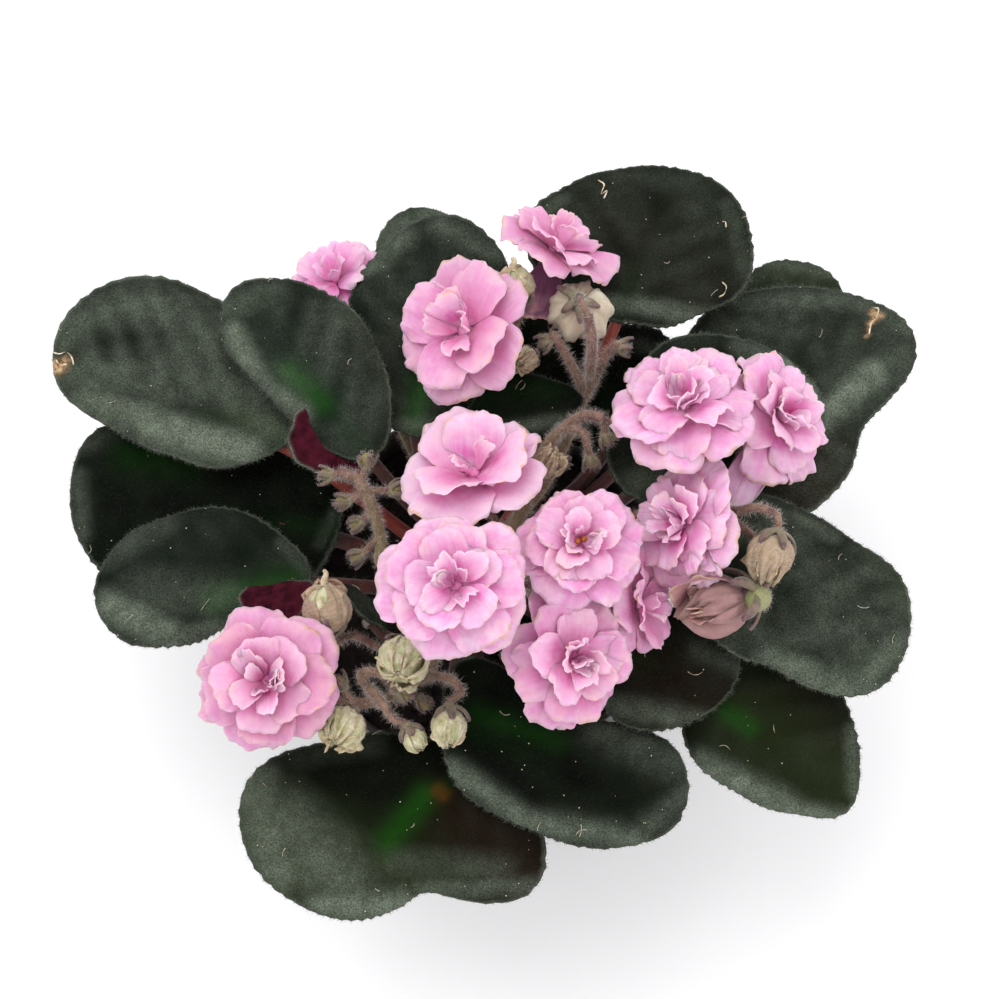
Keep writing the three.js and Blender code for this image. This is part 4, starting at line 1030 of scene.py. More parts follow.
def folded_lobe(name):
    """The basal lobe of a leaf where it has curled over its stalk and shows its maroon underside."""
    x, y, level, length, width, heading, rise = FOLDED_LOBES[name]
    axes = leaf_axes(heading, rise, LOBE_BANK)
    angle, share = np.meshgrid(np.linspace(0, 2 * np.pi, 96, endpoint=False), np.linspace(0.08, 1, 10))
    ruffle = 1 + 0.05 * np.sin(3 * angle) + 0.025 * np.sin(11 * angle + 1)
    u = length * share * np.cos(angle) * ruffle
    v = width * share * np.sin(angle) * ruffle * (1 - 0.3 * np.cos(angle))
    height = 0.9 - 0.035 * v**2 + 0.012 * u**2 + 0.25 * np.sin(4 * angle) * share**3
    top = laid_out(seen_on(x, y, [0, 0, level], [0, 0, 1]), axes, u, v, height)
    chart = np.stack([0.5 + u / length * 0.48, 0.5 + v / width * 0.36], -1)
    # its rim is painted pale, as sheen on the fuzz of its edge
    marks = {"under": 1 - 0.75 * ramp(share, 0.93, 0.07), "pale": ramp(share, 0.9, 0.1) * 0.8}
    return thick_sheet(top, axes[2], LOBE_THICKNESS, chart, marks, {"under": 1.0}, LOBE_BEAD)


def rim_hairs(sheet, middle, up, density, random):
    """Hairs that stand out round a blade's edge."""
    edge = sheet["points"][-len(sheet["groups"][-1][0]) :]
    count = int(density * run_along(edge)[-1])
    spot = random.random(count) * (len(edge) - 1)
    first = spot.astype(int)
    share = (spot - first)[:, None]
    roots = edge[first] * (1 - share) + edge[first + 1] * share
    ways = unit(roots - middle) + up * random.uniform(-0.3, 0.7, (count, 1))
    ways = ways + random.normal(0, 0.3, (count, 3))
    return hairs(roots, ways, random.uniform(*RIM_HAIR_LENGTHS, count), RIM_HAIR_WIDTH)


def leaf(name):
    """A leaf with its stalk, its nap, and the fringe of hairs round its edge and on its stalk."""
    random = np.random.RandomState(int(name[-2:]))
    blade, (along, _, up) = leaf_blade(name)
    BLADES[name] = blade
    path = leaf_stalk_path(name)
    radii = np.linspace(LEAF_STALK_RADIUS + 0.35, LEAF_STALK_RADIUS - 0.3, len(path))
    looks = {"blade_end": np.linspace(-0.4, 1, len(path)).clip(0, 1), "ruddy": float(name in RUDDY)}
    stalk = tube(path, radii * (1.3 if name in STOUT else 1), 12, looks, 1)
    parts = [blade, stalk]
    fringes = [rim_hairs(blade, LEAVES[name][0], up, RIM_HAIRS, random)]
    if name in FOLDED_LOBES:
        lobe = folded_lobe(name)
        parts.append(lobe)
        fringes.append(rim_hairs(lobe, lobe["points"].mean(0), up, LOBE_RIM_HAIRS, random))
    piece("violet_" + name, fused(parts), [LEAF, LEAF_STALK], [name])

    pale = blade["marks"]["pale"]
    area = float(np.pi * np.mean(LEAVES[name][2]) ** 2)
    # more nap hairs stand where the sheen is painted, fewer in the painted shade
    roots, normals, corners = scattered(blade, int(NAP_HAIRS * area), random, 0.3 + 1.4 * pale)
    lean = unit(along * 0.5 + random.normal(0, 0.45, (len(roots), 3)))
    nap = hairs(roots, normals + lean * 1.1, random.uniform(*NAP_LENGTHS, len(roots)), NAP_WIDTH)
    # each hair is painted as pale as the sheen on the blade under it, and dark where the blade's nap is
    # painted in shade
    painted_sheen_share = pale[corners] * random.uniform(0.1, 2.1, len(roots)) + random.uniform(0, 0.12, len(roots))
    nap["marks"]["pale"] = np.repeat(painted_sheen_share.clip(0, 1), len(nap["points"]) // len(roots))
    piece(f"violet_{name}_nap", nap, [NAP])

    places, normals, _ = scattered(stalk, int(5 * len(path)), random)
    ways = normals + random.normal(0, 0.35, places.shape)
    fringes.append(hairs(places, ways, random.uniform(*STALK_HAIR_LENGTHS, len(places)), STALK_HAIR_WIDTH))
    piece(f"violet_{name}_fringe", fused(fringes), [RIM_HAIR])


def on_blade(name, x, y):
    """The place on a leaf's upper face that shows at a pixel of the photograph."""
    sight = unit(seen_on(x, y, LEAVES[name][0], [0, 0, 1]) - CAMERA_PLACE)
    away = BLADES[name]["points"] - CAMERA_PLACE
    ahead = away @ sight
    nearest = np.argmin(np.linalg.norm(away - ahead[:, None] * sight, axis=1))
    return CAMERA_PLACE + sight * (ahead[nearest] - 0.5)


def dust():
    """Specks of dust and shed hairs that lie on the leaves, and the dry shreds on their tips."""
    random = np.random.RandomState(77)
    bits = []
    for name, blade in BLADES.items():
        count = int(DUST.get(name, LIGHT_DUST) * np.pi * np.mean(LEAVES[name][2]) ** 2)
        places, normals, _ = scattered(blade, count, random)
        for place, normal in zip(places, normals):
            speck = ball(random.uniform(*SPECK_RADII), 4, 6, random.uniform(0.5, 1.0))
            bits.append(moved(speck, place + normal * 0.25, facing(normal)))
        places, normals, _ = scattered(blade, max(2, count // 6), random)
        for place, normal in zip(places, normals):
            way = unit(np.cross(normal, random.normal(0, 1, 3)))
            bend = np.cross(normal, way) * random.uniform(-0.8, 0.8)
            reach = random.uniform(0.6, 1.8)
            route = [place + normal * 0.5 + way * reach * k + bend * k**2 for k in np.linspace(-1, 1, 7)]
            bits.append(tube(route, SHED_HAIR_RADIUS, 4))
    for name, x, y, *turns in DRY_SHREDS:
        places = [on_blade(name, x + dx, y + dy) for dx, dy in [(0, 0), *turns]]
        route = [place + [0, 0, 0.7 * (i % 2)] for i, place in enumerate(places)]
        width = 0.14 + 0.08 * np.sin(np.linspace(0, 9, SHRED_STEPS))
        bits.append(tube(smooth_path(route, SHRED_STEPS), width, 6))
    piece("violet_dust", fused(bits), [DRY_BIT])


# ---------------------------------------------------------------- blooms

# Rings of petals: how many, length as a share of the bloom's radius, spread to either side in degrees, the
# tilt at the foot and at the rim in degrees, how far they wrap round, and the height they start at.
RINGS = {
    "open": [
        (5, 0.98, 58, 14, -20, 0.1, 0.0),
        (5, 0.86, 55, 26, -6, 0.2, 0.6),
        (5, 0.71, 54, 42, 16, 0.35, 1.1),
        (4, 0.58, 56, 60, 62, 0.75, 1.5),
        (3, 0.42, 60, 58, 82, 0.8, 1.9),
    ],
    "loose": [
        (5, 0.98, 58, 20, -8, 0.15, 0.0),
        (4, 0.82, 56, 38, 12, 0.3, 0.7),
        (4, 0.56, 48, 60, 70, 0.7, 1.3),
    ],
    "cupped": [
        (5, 0.98, 62, 20, 4, 0.2, 0.0),
        (3, 0.84, 68, 40, 44, 0.5, 0.8),
        (2, 0.5, 56, 60, 96, 0.8, 1.2),
    ],
    "closing": [
        (4, 1.72, 58, -10, 192, 1.0, 0.0),
        (4, 1.56, 56, 4, 196, 1.0, 0.5),
        (4, 1.3, 50, 22, 190, 0.9, 1.2),
    ],
    "wilted": [
        (4, 1.95, 66, -6, 176, 1.0, 0.0),
        (4, 1.75, 60, 8, 180, 1.0, 0.5),
        (4, 1.3, 50, 30, 170, 0.9, 1.2),
    ],
}
CRUMPLE = {"wilted": 1.3, "closing": 1.2}  # how much more the petals of a form are ruffled
CREASES = {"wilted": 0.75, "closing": 0.8}  # and how deeply they are creased, in millimetres
PETAL_ROWS = 16
PETAL_COLUMNS = 45
LARGE_PETAL = 9  # long, from which on a petal's rim is fully ruffled
DRAWS_OF_A_PETAL = 6  # that the solids take for each outer petal besides its turn
CUPPED = ("bloom_06",)  # opens as a cup of few broad petals
SHOWING_ANTHERS = ("bloom_08", "bloom_04")
RIBBONED = ("bloom_04", "bloom_05", "bloom_07", "bloom_08", "bloom_09", "bloom_11", "bloom_12")
# How far a bloom's pink goes towards dusky rose.
DUSKY = {
    "bloom_02": 0.5, "bloom_03": 0.45, "bloom_05": 0.1, "bloom_06": 0.3, "bloom_08": 0.2, "bloom_10": 0.4,
    "bloom_11": 0.4, "bloom_12": 0.6,
}
# How pale a bloom is all over.
PALENESS = {
    "bloom_01": 0.3, "bloom_02": 0.15, "bloom_03": 0.15, "bloom_04": 0.15, "bloom_05": 0.2, "bloom_06": 0.7,
    "bloom_07": 0.1, "bloom_09": 0.3,
}
# How much wider or narrower than its solid a bloom opens in the photograph.
OPENING = {
    "bloom_02": 1.09, "bloom_03": 1.08, "bloom_04": 1.07, "bloom_06": 1.1, "bloom_07": 0.95, "bloom_08": 0.97,
    "bloom_09": 1.09, "bloom_10": 1.32, "bloom_11": 1.08, "bloom_14": 1.18,
}
# Petals that leave their ring: length as a share of the radius, spread, tilts, the way it points, how faded.
STRAY_PETALS = {
    "bloom_02": (0.8, 40, (62, 88), [-0.5, 1, 0], -0.1),
    "bloom_03": (1.2, 36, (-42, -62), [-0.2, -1, 0], 1.3),
    "bloom_05": (1.5, 24, (-20, -35), [-0.25, -1, 0], 0),
    "bloom_06": (0.92, 60, (44, 62), [0.15, 1, 0], -0.2),
    "bloom_09": (1.1, 34, (10, -20), [0.3, -1, 0], 0),
    "bloom_11": (1.2, 30, (-5, -30), [0.2, -1, 0], 0),
    "bloom_13": (1.75, 52, (8, 150), [0, 1, 0.35], 0.3),
}


def arched(first, last, length):
    """The line of a sheet that tilts evenly from first to last degrees over its length. It gives how far out
    and how high a place is from its share of the length and its lift off the sheet."""
    start, bend = math.radians(first), math.radians(last - first)
    bend = bend if abs(bend) > 0.02 else 0.02

    def at(run, lift):
        tilt = start + bend * run
        out = length * (np.sin(tilt) - math.sin(start)) / bend - np.sin(tilt) * lift
        return out, length * (math.cos(start) - np.cos(tilt)) / bend + np.cos(tilt) * lift

    return at


def skin_normals(top):
    return unit(np.cross(np.gradient(top, axis=0), np.gradient(top, axis=1)))


def petal(size, tilts, wrap, ruffle, random, marks, twist=0.0, crease=0.0):
    """One petal that lies along +X from the bloom's middle, with +Z the way the bloom faces. Its size is
    its length and its spread to either side in degrees, and its tilts are at the foot and at the rim. Wrap
    bends it round the bloom's middle, from 0, straight across, to 1, like a part of a bowl. Crease is how
    deep its creases are."""
    length, spread = size
    s, q = np.meshgrid(np.linspace(0.05, 1, PETAL_ROWS), np.linspace(-1, 1, PETAL_COLUMNS), indexing="ij")
    turn = np.pi * q
    swing = np.radians(spread) * q * (1 - 0.28 * s**2)
    a, b, c, d = random.uniform(0, 2 * np.pi, 4)
    small = min(1.0, length / LARGE_PETAL)
    rim = 1 - 0.05 * q**2 - 0.24 * np.abs(q) ** 4 + 0.03 * np.sin(1.5 * turn + a)
    rim += 0.011 * small * np.sin(5.5 * turn + b)
    rim += 0.005 * small * np.sin(15 * turn + c) * np.sin(2.3 * turn + d)
    reach = length * s * (1 + (rim - 1) * s**1.5)
    out, side = reach * np.cos(swing), reach * np.sin(swing)
    waves = np.sin(1.6 * turn + c) + 0.5 * small**2 * np.sin(4.2 * turn + d) * s**3
    waves = waves + 0.16 * small**2 * np.sin(10 * turn + a) * s**6
    lift = (0.12 * side**2 / length + twist * s**2 * side) + ruffle * length * s**2.5 * waves
    lift = lift - 0.07 * length * ramp(s, 0.75, 0.25) ** 2
    lift = lift + crease * s * (np.sin(2.6 * turn + 6 * s + b) + 0.5 * np.sin(5.3 * turn - 8 * s + d))
    line = arched(*tilts, length)
    far, high = line(out / length, lift)
    straight = np.stack([far, side, high], -1)
    far, high = line(reach / length, lift)
    bowl = np.stack([far * np.cos(swing), far * np.sin(swing), high], -1)
    top = straight * (1 - wrap) + bowl * wrap
    chart = np.stack([0.5 + out / length * 0.45, 0.5 + side / length * 0.45], -1)
    near = ramp(s, 0.95, 0.05) + ramp(np.abs(q), 0.96, 0.04) * np.clip(s * 2 - 0.8, 0, 1)
    painted = {"out": s, "across": q * s, "each": random.uniform(0, 1), **marks}
    painted["young"] = marks.get("young", 0.0) * np.clip(1.7 * s - 0.6, 0, 1)
    painted["edge"] = np.minimum(near, 1) * marks.get("edge", 1.0)
    # the outer tenth, which takes the painted highlight of the rim
    painted["rim"] = ramp(s, 0.9, 0.1)
    return thick_sheet(top, skin_normals(top), 0.4 - 0.2 * s, chart, painted, {**painted, "under": 1.0})


def bloom(name):
    """A bloom: rings of petals that grow smaller, steeper and paler towards its middle, on a round foot."""
    at, faces, radius, form, colour = BLOOMS[name]
    number = int(name[-2:])
    random = np.random.RandomState(300 + number)
    shared = random_from(99 + number)
    start = 360 * next(shared)
    widest = radius * OPENING.get(name, 1)
    shapes = []
    for level, ring in enumerate(RINGS["cupped" if name in CUPPED else form]):
        count, length, spread, foot_tilt, rim_tilt, wrap, rise = ring
        loose, twist = 1 + 0.5 * level, 0.5 if level > 2 else 0.2
        for i in range(count):
            if level == 0:  # the outer petals stand where the solid's do
                turn = start + ((i + 0.2 * next(shared)) * 360) / count
                for _ in range(DRAWS_OF_A_PETAL):
                    next(shared)
            else:
                turn = start + (i + random.uniform(-0.2, 0.2)) * 360 / count
            look = {"young": max(PALENESS.get(name, 0.0), (level - 1) / 3)}
            look["dusky"] = DUSKY.get(name, 0.0) + random.uniform(-0.2, 0.2)
            look["edge"] = random.uniform(0.2, 1.0) if level < 2 else 0.3
            one = petal(
                (length * widest * random.uniform(0.9, 1.05), spread * random.uniform(0.92, 1.06)),
                (foot_tilt + random.uniform(-6, 6) * loose, rim_tilt + random.uniform(-11, 11) * loose),
                wrap,
                random.uniform(0.04, 0.09) * CRUMPLE.get(form, 1),
                random,
                look,
                random.uniform(-twist, twist),
                CREASES.get(form, 0.0),
            )
            one = moved(one, [0.05 * radius, 0, rise + 0.12 * (i % 2)])
            shapes.append(moved(one, [0, 0, 0], spin(turn)))
        start += 180 / count + random.uniform(-12, 12)
    if name in RIBBONED:  # pale twisted petals in its middle
        look = {"young": 1.25, "edge": 0.1}
        for k in range(2):
            one = petal((0.42 * radius, 42), (34, 72 + 16 * k), 0.4, 0.04, random, look, 0.3 - 0.6 * k)
            shapes.append(moved(one, [0, 0, 0.16 * radius], spin(random.uniform(0, 360))))
    if name in STRAY_PETALS:
        length, spread, tilts, way, faded = STRAY_PETALS[name]
        across, upward, _ = facing(faces).T @ way
        look = {"young": 0.5 - 0.4 * faded, "edge": 0.8, "faded": faded}
        one = petal((length * radius, spread), tilts, 0.1, 0.05, random, look, 0.1)
        shapes.append(moved(one, [0, 0, -0.5], spin(math.degrees(math.atan2(upward, across)))))
    shapes.append(tube([[0, 0, RECEPTACLE_FOOT], [0, 0, -0.6], [0, 0, 0.4]], [1.7, 2.6, 1.0], 14, finish=1))
    shapes.append(moved(ball(0.1 * radius, 8, 14, marks={"out": 0.3}), [0, 0, 0.04 * radius]))
    if name in SHOWING_ANTHERS:
        for k in (-1, 1):
            shapes.append(moved(ball(0.75, 7, 10, 1.4, 2), [0.8 * k, 0.3 * k, 0.22 * radius]))
    whole = moved(fused(shapes), at, facing(faces))
    piece("violet_" + name, whole, [PETALS[colour], SEPAL, ANTHER], [name])


# ---------------------------------------------------------------- buds

# name: (how tan it is, how far short of closed in degrees, how crumpled)
BUD_LOOKS = {
    "bud_01": (0.6, -8, 1.6),
    "bud_02": (0.8, 8, 3.0),
    "bud_03": (1.1, -12, 1.2),
    "bud_04": (0.1, 0, 1.6),
    "bud_05": (0.25, 4, 2.2),
    "bud_06": (0.3, 0, 0.8),
    "bud_07": (0.75, 0, 2.0),
    "bud_09": (0.9, 10, 2.4),
}
PLAIN_BUD = (0.15, 0, 0.5)
TIPPED = ("bud_01", "bud_03")  # with the dry ends of their petals curled into a tip
TIP_CURL = ((0, 0, 2), (0.1, 0, 2.2), (0.7, 0.2, 2.45), (0.2, 0.8, 2.6))  # x, y, and z by radius
FUZZ_HAIRS = 5  # on each square millimetre of a ball of the bud's size
FUZZ_LENGTHS = (0.3, 0.7)
FUZZ_WIDTH = 0.06


def bud(name):
    """A bud: petals wrapped over each other round a core, under a coat of fuzz."""
    at, points, radius = BUDS[name]
    random = np.random.RandomState(500 + int(name[-2:]))
    tan, open_by, crumple = BUD_LOOKS.get(name, PLAIN_BUD)
    shapes = [moved(ball(0.9 * radius, 20, 30, 1.05), [0, 0, 1.02 * radius])]
    for level, (count, share) in enumerate([(5, 1.0), (4, 0.93)]):
        start = random.uniform(0, 72)
        for i in range(count):
            look = {"tan": tan * random.uniform(0.6, 1.3), "edge": 1.0}
            look["blush"] = random.uniform(0, 0.3) + 0.5 * level
            one = petal(
                (2.95 * radius * share * random.uniform(0.9, 1.04), 40),
                (-4 + 8 * level, 168 - open_by + random.uniform(-8, 8)),
                1.0,
                random.uniform(0.012, 0.03) * crumple,
                random,
                look,
                random.uniform(-0.1, 0.1) * crumple,
                0.2 * crumple,
            )
            turn = start + 360 * i / count + random.uniform(-6, 6)
            shapes.append(moved(one, [0, 0, 0.1 * level], spin(turn)))
    if name in TIPPED:
        curl = [[x, y, up * radius] for x, y, up in TIP_CURL]
        path = smooth_path(curl, 14)
        shapes.append(tube(path, np.linspace(1.0, 0.45, len(path)), 9, {"edge": 1.0, "blush": 1.0}))
    whole = moved(fused(shapes), np.asarray(at, float) - unit(points) * 1.05 * radius, facing(points))
    piece("violet_" + name, whole, [BUD], [name])
    places, normals, _ = scattered(whole, int(FUZZ_HAIRS * 4 * np.pi * radius**2), random, groups=None)
    ways = normals + random.normal(0, 0.4, places.shape)
    fuzz = hairs(places, ways, random.uniform(*FUZZ_LENGTHS, len(places)), FUZZ_WIDTH)
    piece(f"violet_{name}_fuzz", fuzz, [STALK_HAIR])


# ---------------------------------------------------------------- flower stalks

GREEN_STEMS = ("stalk_05", "stalk_07")  # yellow-green for most of their length
STEM_STEPS = 40
BRANCH_STEPS = 18
LAST_SHARE = 0.97  # of a stem's length, the furthest that a side stalk leaves it
STALK_COAT = (4.2, 2.1)  # hairs on each square millimetre and the longest of them
CUP_COAT = (3.0, 1.3)
COAT_WIDTH = 0.05
COAT_DROOP = 0.12


def seat_of(name):
    """Where a bloom or bud meets its cup, the way it points there, and its cup's size."""
    if name in BLOOMS:
        at, faces = BLOOMS[name][:2]
        depth, size = -RECEPTACLE_FOOT, 1.0
    else:
        at, faces, radius = BUDS[name]
        depth, size = 1.1 * radius, 0.75
    way = unit(faces)
    return np.asarray(at, float) - way * (depth + GAP), way, size


def sepal(length, width, tilts):
    s, q = np.meshgrid(np.linspace(0, 1, 9), np.linspace(-1, 1, 5), indexing="ij")
    half = 0.5 * width * (np.sin(np.pi * np.clip(s * 0.86 + 0.14, 0, 1)) ** 0.8 + 0.03)
    out, high = arched(*tilts, length)(s, 0.25 * width * q**2)
    top = np.stack([out, half * q, high], -1)
    marks = {"greenish": 0.6 * (1 - s)}
    return thick_sheet(top, skin_normals(top), 0.4, np.stack([s, 0.5 + 0.5 * q], -1), marks, marks, finish=1)


def cup_of_sepals(seat, way, size, tilts, random, length=5.2, width=1.7):
    """The green cup under a bloom or bud and its five narrow sepals."""
    depth = CALYX_DEPTH * size
    foot = [[0, 0, -depth], [0, 0, -0.6 * depth], [0, 0, -0.15 * depth], [0, 0, 0]]
    shapes = [tube(foot, np.array([0.8, 1.5, 2.0, 1.6]) * size, 12, {"greenish": [0, 0.5, 0.9, 1]}, 1)]
    start = random.uniform(0, 72)
    for i in range(5):
        turn = start + 72 * i + random.uniform(-7, 7)
        long = length * size * random.uniform(0.85, 1.15)
        bends = (tilts[0] + random.uniform(-8, 8), tilts[1] + random.uniform(-14, 14))
        one = sepal(long, width * size, bends)
        shapes.append(moved(moved(one, [1.1 * size, 0, -0.3 * depth]), [0, 0, 0], spin(turn)))
    return [moved(s, seat, facing(way)) for s in shapes]


def side_stalk(path, share, end, way):
    """The slim stalk that leaves a stem's path at a share of its length and arrives at its end in a way."""
    i, rest = divmod(min(share, LAST_SHARE) * (STEM_STEPS - 1), 1)
    ahead = path[int(i) + 1] - path[int(i)]
    start = path[int(i)] + ahead * rest
    length = np.linalg.norm(end - start)
    route = bezier(start, start + unit(ahead) * 0.35 * length, end - way * 0.45 * length, end, BRANCH_STEPS)
    return tube(route, np.linspace(1, 0.9, BRANCH_STEPS) * SIDE_STALK_RADIUS, 10, {"greenish": 0.15})


def skin_area(shape):
    a, b, c, d = (shape["points"][shape["groups"][0][0][:, k]] for k in range(4))
    return float(0.5 * np.linalg.norm(np.cross(c - a, d - b), axis=1).sum())


def stalk(name):
    """A flower stalk: its stems, the side stalks and cups of what it carries, its young buds, its hairs."""
    stems, carries, young = STALKS[name]
    random = np.random.RandomState(700 + int(name[-1]))
    along = np.linspace(0, 1, STEM_STEPS)
    paths = [smooth_path(stem, STEM_STEPS) for stem in stems]
    skins, cups = [], []
    for i, path in enumerate(paths):
        thick = FLOWER_STALK_RADIUS - (0.25 if i else 0)
        radii = np.linspace(thick + 0.15, thick - 0.2, STEM_STEPS) * (1 + 0.04 * np.sin(9 * along + i))
        green = 1.1 if name in GREEN_STEMS else 0.3 if i else 0.6
        skins.append(tube(path, radii, 12, {"greenish": (green * (1 - along**2)).clip(0, 1)}))
    for carried, stem, share in carries:
        seat, way, size = seat_of(carried)
        skins.append(side_stalk(paths[stem], share, seat - way * 0.3 * CALYX_DEPTH * size, way))
        if carried in BUDS:
            cups += cup_of_sepals(seat, way, size, (6, 88), random, 1.3 * BUDS[carried][2] / size, 2.6)
        elif BLOOMS[carried][3] == "closing":
            cups += cup_of_sepals(seat, way, 1.3, (0, 74), random, 7.5, 2.3)
            foot = moved(ball(3.1, 14, 20, 1.1, 1), seat + [0.9, -1.6, 0.3], facing(way))
            foot["marks"] = {"greenish": np.linspace(0.9, 1.4, len(foot["points"]))}
            cups.append(foot)
        else:
            cups += cup_of_sepals(seat, way, size, (25, 40), random)
    for place, stem, share in young:
        way = unit(place - paths[stem][int(min(share, LAST_SHARE) * (STEM_STEPS - 1))])
        skins.append(side_stalk(paths[stem], share, place, way))
        skins.append(moved(ball(1.5, 9, 14, 1.15, marks={"greenish": 1.0}), place, facing(way)))
        cups += cup_of_sepals(place - way * 1.3, way, 0.62, (35, 98), random, 6.4)
    piece("violet_" + name, fused(skins + cups), [STALK, SEPAL], [name])
    coat = []
    for shapes, (density, longest) in ((skins, STALK_COAT), (cups, CUP_COAT)):
        for one in shapes:
            places, normals, _ = scattered(one, max(6, int(density * skin_area(one))), random)
            ways = normals + random.normal(0, 0.4, places.shape)
            lengths = random.uniform(0.4 * longest, longest, len(places))
            coat.append(hairs(places, ways, lengths, COAT_WIDTH, COAT_DROOP, 2))
    piece(f"violet_{name}_hairs", fused(coat), [STALK_HAIR])


# ---------------------------------------------------------------- pot, potting mix and crown

BODY_TOP = POT_HEIGHT - POT_RIM_BAND
SOIL_RINGS = 46
SOIL_SIDES = 170
CRUMBS = 420
WHITE_CRUMBS = 0.04  # the share of them that is perlite
CROWN_RINGS = 60


def pot_radius(height):
    widest = POT_RIM_RADIUS - POT_RIM_STEP - 1
    return POT_BASE_RADIUS + (widest - POT_BASE_RADIUS) * height / BODY_TOP


def pot():
    """The pot: a turned wall with a rounded foot and a stepped rim, and drain holes cut through its base."""
    base, rim = POT_BASE_RADIUS, POT_RIM_RADIUS
    profile = [
        [0, 0],
        [base - 1.2, 0],
        [base - 0.3, 0.35],
        [base + 0.2, 1.2],
        [pot_radius(BODY_TOP * 0.5), BODY_TOP * 0.5],
        [pot_radius(BODY_TOP) - 0.1, BODY_TOP - 0.7],
        [pot_radius(BODY_TOP) + 0.2, BODY_TOP - 0.1],
        [rim - 1.7, BODY_TOP + 0.1],
        [rim - 1.1, BODY_TOP + 0.6],
        [rim - 0.9, BODY_TOP + 1.4],
        [rim - 0.1, POT_HEIGHT - 1.2],
        [rim - 0.4, POT_HEIGHT - 0.3],
        [rim - 1.2, POT_HEIGHT],
        [rim - POT_WALL + 0.5, POT_HEIGHT - 0.2],
        [rim - POT_WALL, POT_HEIGHT - 1],
        [rim - POT_WALL - 1, BODY_TOP + 1],
        [pot_radius(BODY_TOP) - POT_WALL, BODY_TOP - 2],
        [base - POT_WALL + 0.6, POT_WALL + 0.6],
        [base - POT_WALL - 0.6, POT_WALL],
        [0, POT_WALL],
    ]
    body = piece("violet_pot", lathe(profile, 144), [moulded_pot()], ["pot"])
    cutters = []
    for i in range(DRAIN_HOLES):
        place = compass(360 * i / DRAIN_HOLES) * DRAIN_CIRCLE * MM
        size = {"radius": DRAIN_RADIUS * MM, "depth": 4 * POT_WALL * MM}
        bpy.ops.mesh.primitive_cylinder_add(vertices=40, location=place, **size)
        cutters.append(bpy.context.active_object)
    for cutter in cutters:
        hole = body.modifiers.new("drain", "BOOLEAN")
        hole.object, hole.operation, hole.solver = cutter, "DIFFERENCE", "EXACT"
    graph = bpy.context.evaluated_depsgraph_get()
    cut = bpy.data.meshes.new_from_object(body.evaluated_get(graph), depsgraph=graph)
    body.modifiers.clear()
    body.data = cut
    for cutter in cutters:
        bpy.data.objects.remove(cutter)
    cut.set_sharp_from_angle(angle=math.radians(50))


def potting():
    """The potting mix: a body that fills the pot round the crown, its top uneven, with crumbs on it."""
    inset, foot = POT_WALL + GAP + 0.5, POT_WALL + GAP
    socket = CROWN_RADIUS + GAP + 0.2
    outer = POT_RIM_RADIUS - inset - 0.8
    profile = [
        [0, foot],
        [POT_BASE_RADIUS - inset, foot],
        [pot_radius(BODY_TOP) - inset, BODY_TOP - 2.5],
        [outer - 0.4, BODY_TOP + 2],
        [outer, SOIL_TOP - 1.2],
        *([r, SOIL_TOP] for r in np.linspace(outer, socket + 0.3, SOIL_RINGS)),
        [socket, SOIL_TOP - 0.6],
        [socket, CROWN_FOOT - GAP],
        [0, CROWN_FOOT - GAP],
    ]
    shape = lathe(profile, SOIL_SIDES)
    random = np.random.RandomState(7)
    p = shape["points"]
    on_top = np.abs(p[:, 2] - SOIL_TOP) < 0.01
    waves = np.zeros(len(p))
    for length in (24, 15, 9, 6, 4, 3):
        for _ in range(3):
            way, start = random.uniform(0, 2 * np.pi), random.uniform(0, 2 * np.pi)
            waves += length / 60 * waves_along(p[:, 0], p[:, 1], way, length, start)
    p[:, 2] += np.where(on_top, 0.8 * waves + random.normal(0, 0.12, len(p)), 0)
    shapes = [shape]
    for _ in range(CRUMBS):
        way, far = random.uniform(0, 360), random.uniform(socket + 1.5, outer - 1.5)
        size = random.uniform(0.5, 1.5)
        crumb = ball(size, 5, 7, random.uniform(0.6, 1))
        crumb["points"] += random.normal(0, 0.16 * size, crumb["points"].shape)
        crumb["marks"]["white"] = float(random.random() < WHITE_CRUMBS)
        tilt = facing([random.normal(), random.normal(), 1.5])
        shapes.append(moved(crumb, compass(way) * far + [0, 0, SOIL_TOP + 0.3 * size], tilt))
    piece("violet_potting_mix", fused(shapes), [POTTING_MIX], ["soil"])


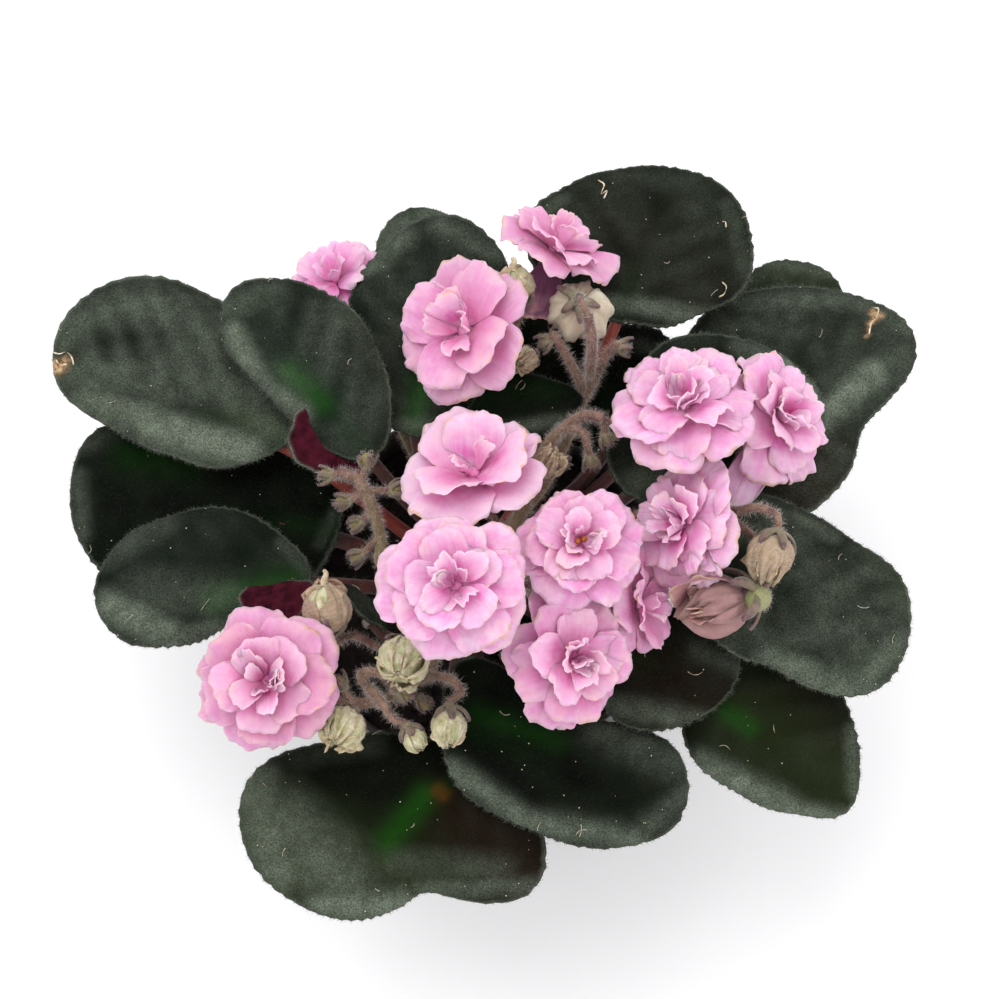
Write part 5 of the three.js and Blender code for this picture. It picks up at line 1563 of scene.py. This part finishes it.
def crown():
    """The crown: a stubby round stem, ringed and slightly ribbed."""
    heights = np.linspace(CROWN_FOOT, CROWN_TOP, CROWN_RINGS)
    radii = CROWN_RADIUS - 0.3 + 0.25 * np.sin(heights * 2.1)
    radii[-6:] = [8.4, 8.1, 7.6, 7.0, 6.0, 4.0]
    shape = lathe([[0, CROWN_FOOT], *zip(radii, heights), [0, CROWN_TOP - 0.05]], 60)
    random = np.random.RandomState(9)
    p = shape["points"]
    angle = np.arctan2(p[:, 1], p[:, 0])
    p[:, :2] *= (1 + 0.012 * np.sin(7 * angle + p[:, 2] * 0.4) - 0.01 * random.random(len(p)))[:, None]
    piece("violet_crown", shape, [CROWN], ["crown"])


# ---------------------------------------------------------------- the plant

for leaf_name in LEAVES:
    leaf(leaf_name)
dust()
for bloom_name in BLOOMS:
    bloom(bloom_name)
for bud_name in BUDS:
    bud(bud_name)
for stalk_name in STALKS:
    stalk(stalk_name)
pot()
potting()
crown()

# ---------------------------------------------------------------- floor, light and camera

bpy.ops.mesh.primitive_plane_add(size=6)
floor = bpy.context.active_object
floor.name = "floor"
floor.data.materials.append(PALE_FLOOR)

world = bpy.data.worlds.new("soft_room")
bpy.context.scene.world = world
world.use_nodes = True
world.node_tree.nodes["Background"].inputs["Color"].default_value = linear("#fbfbfd")
world.node_tree.nodes["Background"].inputs["Strength"].default_value = 1.0


PLANT_MIDDLE = (0, 0, 0.1)  # in metres, as are the lights' places


def soft_light(name, place, size, power):
    lamp = bpy.data.lights.new(name, "AREA")
    lamp.shape, lamp.size, lamp.energy = "DISK", size, power
    made = put_in(name, lamp)
    made.location = place
    made.rotation_euler = (Vector(PLANT_MIDDLE) - Vector(place)).to_track_quat("-Z", "Y").to_euler()


soft_light("window", (-0.35, 0.3, 1.2), 1.1, 7)
soft_light("fill", (0.7, -0.5, 0.9), 0.9, 3)

camera = put_in("camera", bpy.data.cameras.new("camera"))
camera.data.sensor_width = SENSOR
camera.data.lens = FOCAL / PHOTO_SIZE[0] * SENSOR
camera.location = CAMERA_PLACE * MM
camera.rotation_euler = (math.radians(90) - CAMERA_TILT, 0, 0)
bpy.context.scene.camera = camera
bpy.context.scene.view_settings.view_transform = "Standard"
